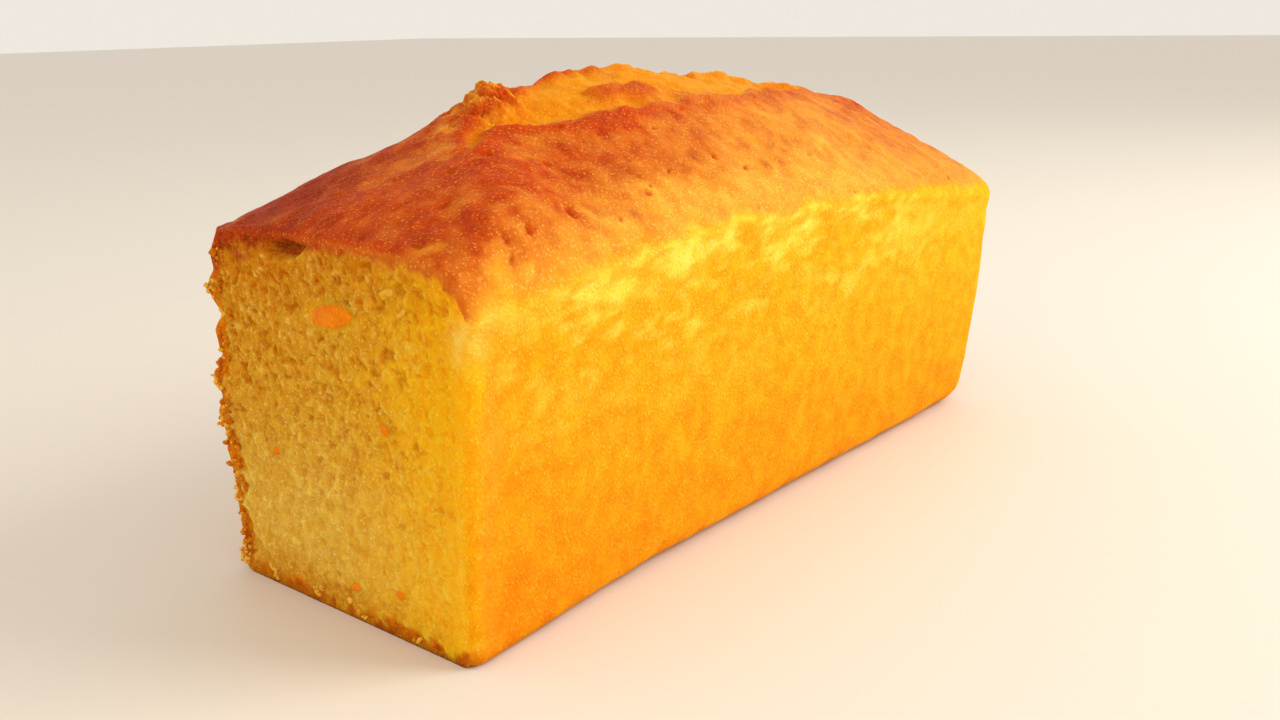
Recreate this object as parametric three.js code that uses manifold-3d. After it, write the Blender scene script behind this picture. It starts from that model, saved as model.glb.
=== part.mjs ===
// A pound cake loaf standing on its base, with one end sliced off to show the crumb.
// Millimetres, +Z up. The length runs along X with the cut at -X, and the origin is under the middle.

import * as THREE from "three";
import { ImprovedNoise } from "three/addons/math/ImprovedNoise.js";
import { mergeVertices } from "three/addons/utils/BufferGeometryUtils.js";
import Module from "manifold-3d";

const { clamp, degToRad, lerp, smoothstep } = THREE.MathUtils;

// Body as the tin left it, with the knife cut across the -X end
const LENGTH = 186;
const CUT_ANGLE = degToRad(6.9);
const BASE_HALF_WIDTH = 29.5;
const SIDE_HALF_WIDTH = 33.2;
const FLARE_POWER = 1.7;
const END_TAPER = 7;
const BASE_RADIUS = 5;
const BASE_RADIUS_AT_CUT = 2;
const BASE_SPREAD_AT_CUT = 1.2;
const SIDE_BOW = 1.3;
const CORNER_RADIUS = 6;

// Height of the crust: its edge along the sides, and the ridge of the dome, which lies level along the cut
const CENTRE_X = -16;
const HALF_TIN = 107;
const EDGE_CENTRE_X = -28;
const EDGE_HEIGHT = 61.5;
const EDGE_FALL_TO_CUT = 11;
const EDGE_FALL_TO_END = 5.4;
const EDGE_LEAN_AT_CUT = 1.8;
const RIDGE_Y = 4;
const CROWN_Y_AT_CUT = 18;
const RIDGE_HEIGHT = 84.4;
const RIDGE_FALL_TO_CUT = 46;
const RIDGE_FALL_TO_END = 15.2;
const RIDGE_FALL_POWER = 1.7;
const NEAR_DOME = { powerAtCut: 8, power: 1.4, powerAtEnd: 1 };
const FAR_DOME = { powerAtCut: 4.5, power: 1.6, powerAtEnd: 1.3 };
const DOME_CHANGE = 38;
const DOME_CHANGE_TO_END = 70;
const RIDGE_ROUND_AT_END = 0.15;
const END_ROUNDING = 16;
const END_SHARE = 0.97;

// Edge of the crust, which rolls over the side and hangs out a little
const LIP_OVERHANG = 0.8;
const LIP_LEVEL = 0.94;
const LIP_SPREAD = 0.03;
const ROLL_RADIUS = 3;
const ROLL_SHARE = 0.9;
const ROLL_SHARE_AT_CUT = 0.4;

// Split along the ridge with its raised lips, and the mounds round its mouth: crag, swelling and low gap
const SPLIT_START_X = -60;
const SPLIT_END_X = 71;
const SPLIT_Y = 2.5;
const SPLIT_HOOK = 7;
const SPLIT_WANDER = 1.2;
const SPLIT_HALF_WIDTH = 8.5;
const SPLIT_DEPTH = 3.8;
const NEAR_LIP = 0.8;
const FAR_LIP = 1.5;
const FAR_LIP_START_X = -27;
const MOUNDS = [
  { x: -43.5, y: 6.6, height: 2.8, spread: 3 },
  { x: -48, y: 8, height: 2.2, spread: 9 },
  { x: -31, y: 10, height: -1.6, spread: 5 },
];

// Relief of the crust, of the sides and of the open crumb
const CRUST_RELIEF = 0.7;
const CRUST_GRAIN = 13;
const SIDE_RELIEF = 0.35;
const SIDE_GRAIN = 22;
const CRUMB_RELIEF = 0.5;
const CRUMB_GRAIN = 4;
const HOLLOW = { y: 12, z: 59.4, depth: 2.6, halfWidth: 6.5, halfHeight: 1.7 };

// Candied peel in the cut face: place on the cut, half width, half height and how far it stands out
const PEEL_BITS = [
  { y: -1, z: 49.5, halfWidth: 5, halfHeight: 1.8, proud: 0.7 },
  { y: -12, z: 33.7, halfWidth: 1.8, halfHeight: 1.3, proud: 0.6 },
  { y: 18, z: 24.3, halfWidth: 1.5, halfHeight: 1.2, proud: 0.6 },
  { y: -2, z: 5.6, halfWidth: 2.2, halfHeight: 1.4, proud: 0.6 },
  { y: -13.5, z: 7.4, halfWidth: 1.9, halfHeight: 1.3, proud: 0.6 },
];

// Divisions of the skin
const LENGTH_STEPS = 58;
const CORNER_STEPS = 6;
const ACROSS_STEPS = 30;
const HEIGHT_STEPS = 14;

const END_X = LENGTH / 2;
const CUT_SLOPE = Math.tan(CUT_ANGLE);
const CUT_X = -END_X + CUT_SLOPE * SIDE_HALF_WIDTH;
const perlin = new ImprovedNoise();

function bell(value, spread) {
  return Math.exp(-((value / spread) ** 2));
}

function mound({ x, y, height, spread }, atX, atY) {
  return height * bell(Math.hypot(atX - x, atY - y), spread);
}

// Drop of a quarter round of the given radius, at a share from 0 (its start) to 1 (its end).
function quarterRound(radius, share) {
  const t = clamp(share, 0, 1);
  return radius * (1 - Math.sqrt(1 - t * t));
}

function cutAt(y) {
  return CUT_X + CUT_SLOPE * y;
}

// How far the wall stands inside its straight line: the base corner below, the rolled crust above.
function wallInset(h, z, along) {
  const radius = lerp(BASE_RADIUS_AT_CUT, BASE_RADIUS, smoothstep(along, 0, 0.3));
  const base = quarterRound(radius, 1 - z / radius);
  const share = lerp(ROLL_SHARE_AT_CUT, ROLL_SHARE, smoothstep(along, 0, 0.3));
  const roll = quarterRound(ROLL_RADIUS, (share * (h - LIP_LEVEL)) / (1 - LIP_LEVEL));
  return base + roll - LIP_OVERHANG * bell(h - LIP_LEVEL, LIP_SPREAD);
}

function wallHalfWidth(h, z, along) {
  const flare = 1 - (1 - h) ** FLARE_POWER;
  const base = BASE_HALF_WIDTH + BASE_SPREAD_AT_CUT * (1 - smoothstep(along, 0, 0.25));
  return lerp(base, SIDE_HALF_WIDTH, flare) - wallInset(h, z, along);
}

function endReach(h, z) {
  return END_X - END_TAPER * (1 - h) ** FLARE_POWER - wallInset(h, z, 1);
}

// Height of the crust's edge. At the cut the edge on the +Y side stands higher than the other.
function edgeHeight(x, lean) {
  const d = (x - EDGE_CENTRE_X) / HALF_TIN;
  const fall = d < 0 ? EDGE_FALL_TO_CUT : EDGE_FALL_TO_END;
  const leaning = EDGE_LEAN_AT_CUT * (1 - smoothstep(x, CUT_X, EDGE_CENTRE_X));
  return EDGE_HEIGHT - fall * d * d + leaning * lean;
}

function ridgeHeight(x) {
  const d = (x - CENTRE_X) / HALF_TIN;
  const fall = d < 0 ? RIDGE_FALL_TO_CUT : RIDGE_FALL_TO_END;
  return RIDGE_HEIGHT - fall * Math.abs(d) ** RIDGE_FALL_POWER;
}

// Share of the dome left as the crust rounds down to the far end.
function endShare(x) {
  const t = (x - (END_X - END_ROUNDING)) / END_ROUNDING;
  return 1 - quarterRound(1 - END_SHARE, t);
}

// The split: a floor below the dome between two lips, opening from the cut side and closing slowly.
function splitHeight(x, y) {
  const u = (x - SPLIT_START_X) / (SPLIT_END_X - SPLIT_START_X);
  if (u <= 0 || u >= 1) {
    return 0;
  }
  const opening = Math.sin(Math.PI * u ** 0.6);
  const ragged = 1 + 0.25 * perlin.noise(x / 7, 5.5, y > SPLIT_Y ? 1.5 : 8.5);
  const half = SPLIT_HALF_WIDTH * opening ** 0.7 * (1 - 0.3 * u) * ragged;
  const centre = SPLIT_Y - SPLIT_HOOK * (1 - u) ** 8 + SPLIT_WANDER * Math.sin(14 * u);
  const d = (y - centre) / Math.max(half, 0.5);
  const floor = SPLIT_DEPTH * (1 - smoothstep(Math.abs(d), 0.35, 1));
  const farLip = FAR_LIP * smoothstep(x, FAR_LIP_START_X, FAR_LIP_START_X + 8);
  const lip = (d > 0 ? farLip : NEAR_LIP) * bell(Math.abs(d) - 1.15, 0.25);
  return Math.sqrt(opening) * (lip - floor);
}

function crustHeight(x, y, halfWidth) {
  const edge = edgeHeight(x, y / halfWidth);
  const reach = y > RIDGE_Y ? halfWidth - RIDGE_Y : halfWidth + RIDGE_Y;
  const v = clamp(Math.abs(y - RIDGE_Y) / reach, 0, 1);
  const side = y > RIDGE_Y ? FAR_DOME : NEAR_DOME;
  const fromCut = smoothstep(x, CUT_X, CUT_X + DOME_CHANGE);
  const toEnd = smoothstep(x, END_X - DOME_CHANGE_TO_END, END_X);
  const power = lerp(lerp(side.powerAtCut, side.power, fromCut), side.powerAtEnd, toEnd);
  const crownX = x + CUT_SLOPE * (CROWN_Y_AT_CUT - y) * (1 - fromCut);
  const soft = RIDGE_ROUND_AT_END * toEnd;
  const fall = (Math.hypot(v, soft) - soft) / (Math.hypot(1, soft) - soft);
  const dome = (ridgeHeight(crownX) - edge) * endShare(x) * (1 - fall ** power);
  const lumps = CRUST_RELIEF * perlin.noise(x / CRUST_GRAIN, y / CRUST_GRAIN, 0.5);
  const relief = MOUNDS.reduce((sum, place) => sum + mound(place, x, y), splitHeight(x, y) + lumps);
  return edge + dome + relief * (1 - v ** 6);
}

// How far the cut face lies behind the knife's plane: rough crumb, and a hollow under the crust.
function cutRelief(y, z) {
  const crumb = CRUMB_RELIEF * perlin.noise(y / CRUMB_GRAIN, z / CRUMB_GRAIN, 3.5);
  const hollow = bell((y - HOLLOW.y) / HOLLOW.halfWidth, 1) * bell((z - HOLLOW.z) / HOLLOW.halfHeight, 1);
  return crumb + CRUMB_RELIEF / 2 + HOLLOW.depth * hollow;
}

// Places along the length, with what the rounded plan corners of the far end take off the half width.
function stations() {
  const straight = 1 - CORNER_RADIUS / LENGTH;
  const list = [];
  for (let i = 0; i <= LENGTH_STEPS; i += 1) {
    list.push({ along: (straight * i) / LENGTH_STEPS, inset: 0 });
  }
  for (let k = 1; k <= CORNER_STEPS; k += 1) {
    const angle = (k / CORNER_STEPS) * (Math.PI / 2);
    const along = lerp(straight, 1, Math.sin(angle));
    list.push({ along, inset: CORNER_RADIUS * (1 - Math.cos(angle)) });
  }
  return list;
}

// A point of the skin. b runs across from -1 to 1 and h up from 0 at the base to 1 at the crust.
function skinPoint({ along, inset }, b, h) {
  const topHalf = wallHalfWidth(1, EDGE_HEIGHT, along) - inset;
  const topX = lerp(cutAt(b * topHalf), endReach(1, EDGE_HEIGHT), along);
  const z = h * crustHeight(topX, b * topHalf, topHalf);
  const half = wallHalfWidth(h, z, along) - inset;
  const wave = SIDE_RELIEF * perlin.noise(topX / SIDE_GRAIN, z / SIDE_GRAIN, 7.5 + b);
  const bow = SIDE_BOW * Math.sin(Math.PI * h) * (1 - along);
  const y = b * (half + wave * h * (1 - along)) + bow;
  const x = lerp(cutAt(y), endReach(h, z), along);
  const sunk = along === 0 ? cutRelief(y, z) : 0;
  return new THREE.Vector3(x + sunk, y, z);
}

// Two triangles for each cell of a grid of points, facing along the rows crossed with the columns.
function addGrid(triangles, rows, columns, pointAt) {
  for (let i = 0; i < rows; i += 1) {
    for (let j = 0; j < columns; j += 1) {
      const a = pointAt(i, j);
      const b = pointAt(i + 1, j);
      const c = pointAt(i + 1, j + 1);
      const d = pointAt(i, j + 1);
      triangles.push(a, b, c, a, c, d);
    }
  }
}

// Triangles from the middle of the flat base to each side of its outline.
function addBase(triangles, outline) {
  const middle = new THREE.Vector3(0, 0, 0);
  outline.forEach((point, i) => {
    const next = outline[(i + 1) % outline.length];
    triangles.push(middle, next, point);
  });
}

// The loaf's skin: crust, two sides, two ends and the base, sharing their edges.
function loafGeometry() {
  const places = stations();
  const last = places.length - 1;
  const across = (j) => lerp(-1, 1, j / ACROSS_STEPS);
  const level = (k) => (1 - Math.cos((Math.PI * k) / HEIGHT_STEPS)) / 2;
  const triangles = [];
  addGrid(triangles, last, ACROSS_STEPS, (i, j) => skinPoint(places[i], across(j), 1));
  addGrid(triangles, last, HEIGHT_STEPS, (i, k) => skinPoint(places[i], -1, level(k)));
  addGrid(triangles, HEIGHT_STEPS, last, (k, i) => skinPoint(places[i], 1, level(k)));
  addGrid(triangles, ACROSS_STEPS, HEIGHT_STEPS, (j, k) => skinPoint(places[last], across(j), level(k)));
  addGrid(triangles, HEIGHT_STEPS, ACROSS_STEPS, (k, j) => skinPoint(places[0], across(j), level(k)));

  const outline = [];
  for (let i = 0; i < last; i += 1) {
    outline.push(skinPoint(places[i], -1, 0));
  }
  for (let j = 0; j < ACROSS_STEPS; j += 1) {
    outline.push(skinPoint(places[last], across(j), 0));
  }
  for (let i = last; i > 0; i -= 1) {
    outline.push(skinPoint(places[i], 1, 0));
  }
  for (let j = ACROSS_STEPS; j > 0; j -= 1) {
    outline.push(skinPoint(places[0], across(j), 0));
  }
  addBase(triangles, outline);
  return new THREE.BufferGeometry().setFromPoints(triangles);
}

// A bit of peel: a flattened ball set in the cut face, turned with the knife's plane.
function peelGeometry(bit) {
  const ball = new THREE.IcosahedronGeometry(1, 1);
  ball.scale(2 * bit.proud, bit.halfWidth, bit.halfHeight);
  ball.rotateZ(-CUT_ANGLE);
  ball.translate(cutAt(bit.y) + cutRelief(bit.y, bit.z) + bit.proud, bit.y, bit.z);
  return ball;
}

function toSolid(kernel, geometry) {
  const bare = new THREE.BufferGeometry();
  const source = geometry.index ? geometry.toNonIndexed() : geometry;
  bare.setAttribute("position", source.getAttribute("position"));
  const merged = mergeVertices(bare, 1e-3);
  const mesh = new kernel.Mesh({
    numProp: 3,
    vertProperties: merged.getAttribute("position").array,
    triVerts: new Uint32Array(merged.index.array),
  });
  return new kernel.Manifold(mesh);
}

function toGeometry(solid) {
  const mesh = solid.getMesh();
  const geometry = new THREE.BufferGeometry();
  geometry.setAttribute("position", new THREE.BufferAttribute(mesh.vertProperties, 3));
  geometry.setIndex(new THREE.BufferAttribute(mesh.triVerts, 1));
  return geometry;
}

// The loaf with its peel as one solid, moved so that its box stands over the origin.
async function buildLoaf() {
  const kernel = await Module();
  kernel.setup();
  let solid = toSolid(kernel, loafGeometry());
  for (const bit of PEEL_BITS) {
    solid = solid.add(toSolid(kernel, peelGeometry(bit)));
  }
  const geometry = toGeometry(solid);
  geometry.computeBoundingBox();
  const { min, max } = geometry.boundingBox;
  geometry.translate(-(min.x + max.x) / 2, -(min.y + max.y) / 2, -min.z);
  geometry.computeVertexNormals();
  const crust = new THREE.MeshStandardMaterial({ color: 0xe0962e, roughness: 0.75, metalness: 0 });
  const loaf = new THREE.Mesh(geometry, crust);
  loaf.name = "loaf";
  return loaf;
}

const cake = new THREE.Group();
cake.name = "pound_cake";
cake.add(await buildLoaf());

export default cake;
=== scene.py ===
"""Looks of a pound cake loaf: a domed, split crust over golden sides, with one end cut open to the crumb.

Shapes are worked out in millimetres with numpy and put into meshes in metres.
"""

from __future__ import annotations

import logging
import math
from dataclasses import dataclass, field
from enum import Enum

import bpy
import numpy as np
from mathutils import Matrix, Vector

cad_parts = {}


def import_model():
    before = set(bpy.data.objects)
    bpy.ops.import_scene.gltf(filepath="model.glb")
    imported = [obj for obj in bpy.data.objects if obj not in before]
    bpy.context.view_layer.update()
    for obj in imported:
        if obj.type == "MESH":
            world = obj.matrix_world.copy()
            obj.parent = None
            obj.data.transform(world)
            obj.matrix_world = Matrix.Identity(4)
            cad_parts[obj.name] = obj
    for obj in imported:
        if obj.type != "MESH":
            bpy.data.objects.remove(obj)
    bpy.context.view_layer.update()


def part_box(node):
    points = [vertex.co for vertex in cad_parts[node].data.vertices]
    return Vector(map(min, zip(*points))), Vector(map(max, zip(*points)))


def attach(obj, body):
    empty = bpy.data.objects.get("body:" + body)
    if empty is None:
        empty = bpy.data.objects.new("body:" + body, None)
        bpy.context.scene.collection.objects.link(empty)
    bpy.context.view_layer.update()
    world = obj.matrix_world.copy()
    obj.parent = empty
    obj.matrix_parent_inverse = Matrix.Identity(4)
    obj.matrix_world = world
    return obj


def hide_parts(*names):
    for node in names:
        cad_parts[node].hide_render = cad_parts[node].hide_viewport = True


Array = np.ndarray
Color = tuple[float, float, float]

MM = 0.001
NODE = "loaf"
BODY = "root"
LOAF_SEED = 4
BITS_SEED = 9
SEAT_STEPS = (60, 21, 60)
LOG = logging.getLogger("pound_cake")


def smoothstep(value: Array, low: float, high: float) -> Array:
    """Smooth rise from 0 at low to 1 at high, along 3t^2 - 2t^3."""
    t = np.clip((value - low) / (high - low), 0, 1)
    return t * t * (3 - 2 * t)


def bell(value: Array, spread: float) -> Array:
    """Bell curve exp(-(value / spread)^2)."""
    return np.exp(-((value / spread) ** 2))


def mix(a: Array, b: Array, t: Array) -> Array:
    """Straight blend from a at t 0 to b at t 1."""
    return a + (b - a) * t


def quarter_round(radius: float, share: Array) -> Array:
    """Drop of a quarter circle: radius * (1 - sqrt(1 - t^2)) with t the share held to 0..1."""
    t = np.clip(share, 0, 1)
    return radius * (1 - np.sqrt(1 - t * t))


@dataclass(frozen=True)
class Span:
    """A stretch from low to high over which a share changes smoothly."""

    low: float
    high: float

    def rise(self, value: Array) -> Array:
        """Share from 0 at low to 1 at high."""
        return smoothstep(value, self.low, self.high)

    def fall(self, value: Array) -> Array:
        """Share from 1 at low to 0 at high."""
        return 1 - self.rise(value)


class LumpNoise:
    """Smooth seeded noise from -1 to 1: random values on a turned cubic lattice, blended by a quintic."""

    PERIOD = 32
    LAYER_SHIFT = 7.3
    TURN = np.array(Matrix.Rotation(0.7, 3, Vector((1, 2, 3)).normalized()))

    def __init__(self, seed: int) -> None:
        """Draws the lattice's values from the seed."""
        self.lattice = np.random.default_rng(seed).uniform(-1, 1, (self.PERIOD,) * 3)

    def at(self, points: Array, grain: float) -> Array:
        """Noise at points, with lattice cells of the size grain.

        Args:
            points: Places, with x, y and z along the last axis.
            grain: Size of a lattice cell, in the points' own unit.

        Returns:
            One value for each place.
        """
        cells = points @ self.TURN / grain
        low = np.floor(cells).astype(int)
        t = cells - low
        t = t**3 * (t * (t * 6 - 15) + 10)
        total = np.zeros(points.shape[:-1])
        for corner in np.ndindex(2, 2, 2):
            i, j, k = np.moveaxis((low + corner) % self.PERIOD, -1, 0)
            weight = np.where(np.array(corner, bool), t, 1 - t).prod(-1)
            total += weight * self.lattice[i, j, k]
        return total

    def layered(self, points: Array, grain: float, layers: int = 3) -> Array:
        """Sum of layers of noise, each half as coarse and half as strong as the one before."""
        return sum(self.at(points + self.LAYER_SHIFT * n, grain / 2**n) / 2**n for n in range(layers))


@dataclass(frozen=True)
class Lumps:
    """Layered noise of one strength and one grain."""

    strength: float
    grain: float
    layers: int = 3

    def at(self, noise: LumpNoise, points: Array) -> Array:
        """Strength times the layered noise at the points."""
        return self.strength * noise.layered(points, self.grain, self.layers)


@dataclass(frozen=True)
class PitField:
    """Round pits, one at most in each cell of a square lattice, moved and sized at random."""

    spacing: float
    radius: float
    share: float
    seed: int
    period: int = 96
    smallest: float = 0.4
    least_reach: float = 1e-6

    def depth(self, u: Array, v: Array) -> Array:
        """Depth from 0 to 1 at u, v: the most of 1 - (distance / radius)^2 over the nine cells round it.

        Args:
            u: First coordinate of each place.
            v: Second coordinate of each place.

        Returns:
            One depth for each place.
        """
        rng = np.random.default_rng(self.seed)
        shift = rng.random((self.period, self.period, 2))
        size = rng.uniform(self.smallest, 1, (self.period,) * 2)
        size = size * (rng.random((self.period,) * 2) < self.share)
        column = np.floor(u / self.spacing).astype(int)
        row = np.floor(v / self.spacing).astype(int)
        deepest = np.zeros(np.broadcast(u, v).shape)
        for du, dv in np.ndindex(3, 3):
            i = (column + du - 1) % self.period
            j = (row + dv - 1) % self.period
            away_u = u - (column + du - 1 + shift[i, j, 0]) * self.spacing
            away_v = v - (row + dv - 1 + shift[i, j, 1]) * self.spacing
            reach = np.maximum(self.radius * size[i, j], self.least_reach)
            deepest = np.maximum(deepest, 1 - (away_u**2 + away_v**2) / reach**2)
        return deepest


class Side(Enum):
    """The two long sides, by the sign of Y."""

    NEAR = -1
    FAR = 1


@dataclass(frozen=True)
class Mound:
    """A round rise, dip or spot, in millimetres: its place, its height or share, and its spread."""

    x: float
    y: float
    height: float
    spread: float

    def at(self, x: Array, y: Array) -> Array:
        """Height at x, y: a bell curve of the distance from the middle."""
        return self.height * bell(np.hypot(x - self.x, y - self.y), self.spread)


@dataclass(frozen=True)
class Split:
    """The split along the crust, in millimetres: a golden floor between torn borders, with an island."""

    near_border: tuple[tuple[float, float], ...] = (
        (-66, -9.6), (-63.7, -8.4), (-56, -3.4), (-52.5, -2.7), (-46.5, -5.5), (-41.5, -8.4),
        (-35.5, -10.1), (-12, -10.4), (10, -9.0), (26, -7.0), (45, -3.0), (66, 1.0),
    )
    far_border: tuple[tuple[float, float], ...] = (
        (-66, -6.6), (-62.6, -4.7), (-56.5, -0.2), (-53, 0.9), (-45, 1.3), (-40, 2.8), (-35, 5.2),
        (-25, 7.4), (-10, 8.2), (2, 8.6), (7, 9.6), (16, 9.2), (30, 7.6), (48, 5.0), (66, 1.4),
    )
    mouth: Span = Span(-66, -61)
    tail: Span = Span(48, 68)
    depth: float = 1.9
    slope_start: float = -0.6
    slope: float = 3.4
    torn: Lumps = Lumps(1.4, 4.5)
    torn_stretch: float = 0.6
    torn_level: float = 8.0
    near_lip: float = 0.4
    near_lip_out: float = 1.4
    far_lip: float = 1.2
    far_lip_out: float = 1.2
    far_lip_from: Span = Span(-36, -26)
    lip_spread: float = 2.4
    lip_torn: float = 0.4
    golden_from: Span = Span(-14, -4)
    island_x: float = -18.0
    island_y: float = -4.6
    island_half_length: float = 13.0
    island_half_width: float = 4.2
    island_rise: float = 1.7
    island_edge: Span = Span(0.45, 1.1)
    island_torn: float = 0.3
    island_cover: float = 0.85
    island_brown: float = 0.9

    def at(self, x: Array, y: Array, noise: LumpNoise) -> tuple[Array, Array, Array]:
        """Floor, lips and island: smooth steps inside the torn borders, and bell curves just outside them.

        Args:
            x: Place along the loaf.
            y: Place across the loaf.
            noise: Noise that tears the borders.

        Returns:
            Height to add to the dome, mask of the floor, and mask of the browned lips.
        """
        near = y - np.interp(x, *zip(*self.near_border))
        far = np.interp(x, *zip(*self.far_border)) - y
        flat = np.stack(np.broadcast_arrays(x, self.torn_stretch * y, self.torn_level), -1)
        torn = self.torn.at(noise, flat)
        opening = self.mouth.rise(x) * self.tail.fall(x)
        floor = smoothstep(np.minimum(near, far) + torn, self.slope_start, self.slope) * opening
        along = (x - self.island_x) / self.island_half_length
        across = (y - self.island_y) / self.island_half_width
        island = self.island_edge.fall(np.hypot(along, across) + self.island_torn * torn)
        brown = self.golden_from.fall(x)
        near_lip = bell(near + self.near_lip_out + self.lip_torn * torn, self.lip_spread) * opening
        far_lip = bell(far + self.far_lip_out + self.lip_torn * torn, self.lip_spread) * opening
        rise = self.near_lip * near_lip + self.far_lip * far_lip * self.far_lip_from.rise(x)
        height = rise - self.depth * floor + self.island_rise * island * floor
        golden = np.maximum(floor, far_lip * (1 - brown)) * (1 - self.island_cover * island)
        browned = np.maximum(np.maximum(near_lip, far_lip * brown), self.island_brown * island * opening)
        return height, golden, browned


@dataclass(frozen=True)
class SkinPoints:
    """Points of the loaf's outer form with what the colours need to know about each."""

    points: Array
    floor: Array
    lip: Array
    slope: Array
    top: Array


@dataclass(frozen=True)
class LoafForm:
    """The loaf's outer form in millimetres: a flared tin shape, cut at -X, under a domed, split crust."""

    length: float = 186.0
    cut_angle: float = math.radians(6.9)
    base_half_width: float = 29.5
    side_half_width: float = 33.2
    flare_power: float = 1.7
    end_taper: float = 7.0
    base_radius: float = 5.0
    base_radius_at_cut: float = 2.0
    base_spread_at_cut: float = 1.2
    side_bow: float = 1.3
    corner_radius: float = 6.0
    centre_x: float = -16.0
    half_tin: float = 107.0
    edge_centre_x: float = -28.0
    edge_height: float = 61.5
    edge_fall_to_cut: float = 11.0
    edge_fall_to_end: float = 5.4
    edge_lean_at_cut: float = 1.8
    ridge_y: float = 4.0
    crown_y_at_cut: float = 18.0
    ridge_height: float = 84.4
    ridge_fall_to_cut: float = 46.0
    ridge_fall_to_end: float = 15.2
    ridge_fall_power: float = 1.7
    dome_power_at_cut: dict[Side, float] = field(default_factory=lambda: {Side.NEAR: 8.0, Side.FAR: 4.5})
    dome_power: dict[Side, float] = field(default_factory=lambda: {Side.NEAR: 1.4, Side.FAR: 1.6})
    dome_power_at_end: dict[Side, float] = field(default_factory=lambda: {Side.NEAR: 1.0, Side.FAR: 1.3})
    dome_change: float = 38.0
    dome_change_to_end: float = 70.0
    ridge_round_at_end: float = 0.15
    end_rounding: float = 16.0
    end_share: float = 0.97
    cut_zone: Span = Span(0, 0.3)
    base_spread_zone: Span = Span(0, 0.25)
    end_zone: Span = Span(0.55, 1)
    lip_overhang: float = 0.8
    lip_overhang_at_end: float = 0.35
    lip_level: float = 0.94
    lip_drop_at_end: float = 0.03
    lip_spread: float = 0.03
    roll_radius: float = 3.0
    roll_radius_at_end: float = 4.2
    roll_share: float = 0.9
    roll_share_at_cut: float = 0.4
    split: Split = Split()
    mounds: tuple[Mound, ...] = (
        Mound(-44.5, 6.4, 1.4, 3.2),
        Mound(-48.0, 8.0, 2.2, 9.0),
        Mound(-31.0, 10.0, -1.6, 5.0),
    )
    crust_relief: float = 0.6
    crust_grain: float = 13.0
    crust_level: float = 3.0
    relief_fade: int = 6

    @property
    def end_x(self) -> float:
        """Place of the far end along X."""
        return self.length / 2

    @property
    def cut_slope(self) -> float:
        """How far the cut moves along X for each step along Y."""
        return math.tan(self.cut_angle)

    @property
    def cut_x(self) -> float:
        """Place of the cut along X at the middle of the loaf."""
        return -self.end_x + self.cut_slope * self.side_half_width

    def cut_at(self, y: Array) -> Array:
        """Place of the knife's plane along X at y."""
        return self.cut_x + self.cut_slope * y

    def wall_inset(self, h: Array, z: Array, along: Array) -> Array:
        """How far the wall stands inside its flared line: base corner and rolled edge, less the lip.

        Args:
            h: Share of the height.
            z: Height above the base.
            along: Share of the length, from the cut.

        Returns:
            One distance for each place.
        """
        from_cut = self.cut_zone.rise(along)
        radius = mix(self.base_radius_at_cut, self.base_radius, from_cut)
        base = quarter_round(1, 1 - z / radius) * radius
        to_end = self.end_zone.rise(along)
        level = mix(self.lip_level, self.lip_level - self.lip_drop_at_end, to_end)
        share = mix(self.roll_share_at_cut, self.roll_share, from_cut)
        roll = quarter_round(1, share * (h - level) / (1 - level))
        roll = roll * mix(self.roll_radius, self.roll_radius_at_end, to_end)
        lip = mix(self.lip_overhang, self.lip_overhang_at_end, to_end) * bell(h - level, self.lip_spread)
        return base + roll - lip

    def half_width(self, h: Array, z: Array, along: Array) -> Array:
        """Half width at height share h: base and side blended by 1 - (1 - h)^power, less the inset.

        Args:
            h: Share of the height.
            z: Height above the base.
            along: Share of the length, from the cut.

        Returns:
            One half width for each place.
        """
        flare = 1 - (1 - h) ** self.flare_power
        base = self.base_half_width + self.base_spread_at_cut * self.base_spread_zone.fall(along)
        return mix(base, self.side_half_width, flare) - self.wall_inset(h, z, along)

    def end_reach(self, h: Array, z: Array) -> Array:
        """Place of the far end along X at height share h."""
        return self.end_x - self.end_taper * (1 - h) ** self.flare_power - self.wall_inset(h, z, np.ones(()))

    def edge(self, x: Array, lean: Array) -> Array:
        """Height of the crust's edge: a parabola along X, leaning up towards +Y at the cut.

        Args:
            x: Place along the loaf.
            lean: Place across, from -1 at -Y to 1 at +Y.

        Returns:
            One height for each place.
        """
        d = (x - self.edge_centre_x) / self.half_tin
        fall = np.where(d < 0, self.edge_fall_to_cut, self.edge_fall_to_end)
        leaning = self.edge_lean_at_cut * (1 - smoothstep(x, self.cut_x, self.edge_centre_x))
        return self.edge_height - fall * d * d + leaning * lean

    def ridge(self, x: Array) -> Array:
        """Height of the dome's ridge: a power curve of the distance from the tin's middle.

        Args:
            x: Place along the loaf.

        Returns:
            One height for each place.
        """
        d = (x - self.centre_x) / self.half_tin
        fall = np.where(d < 0, self.ridge_fall_to_cut, self.ridge_fall_to_end)
        return self.ridge_height - fall * np.abs(d) ** self.ridge_fall_power

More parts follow.
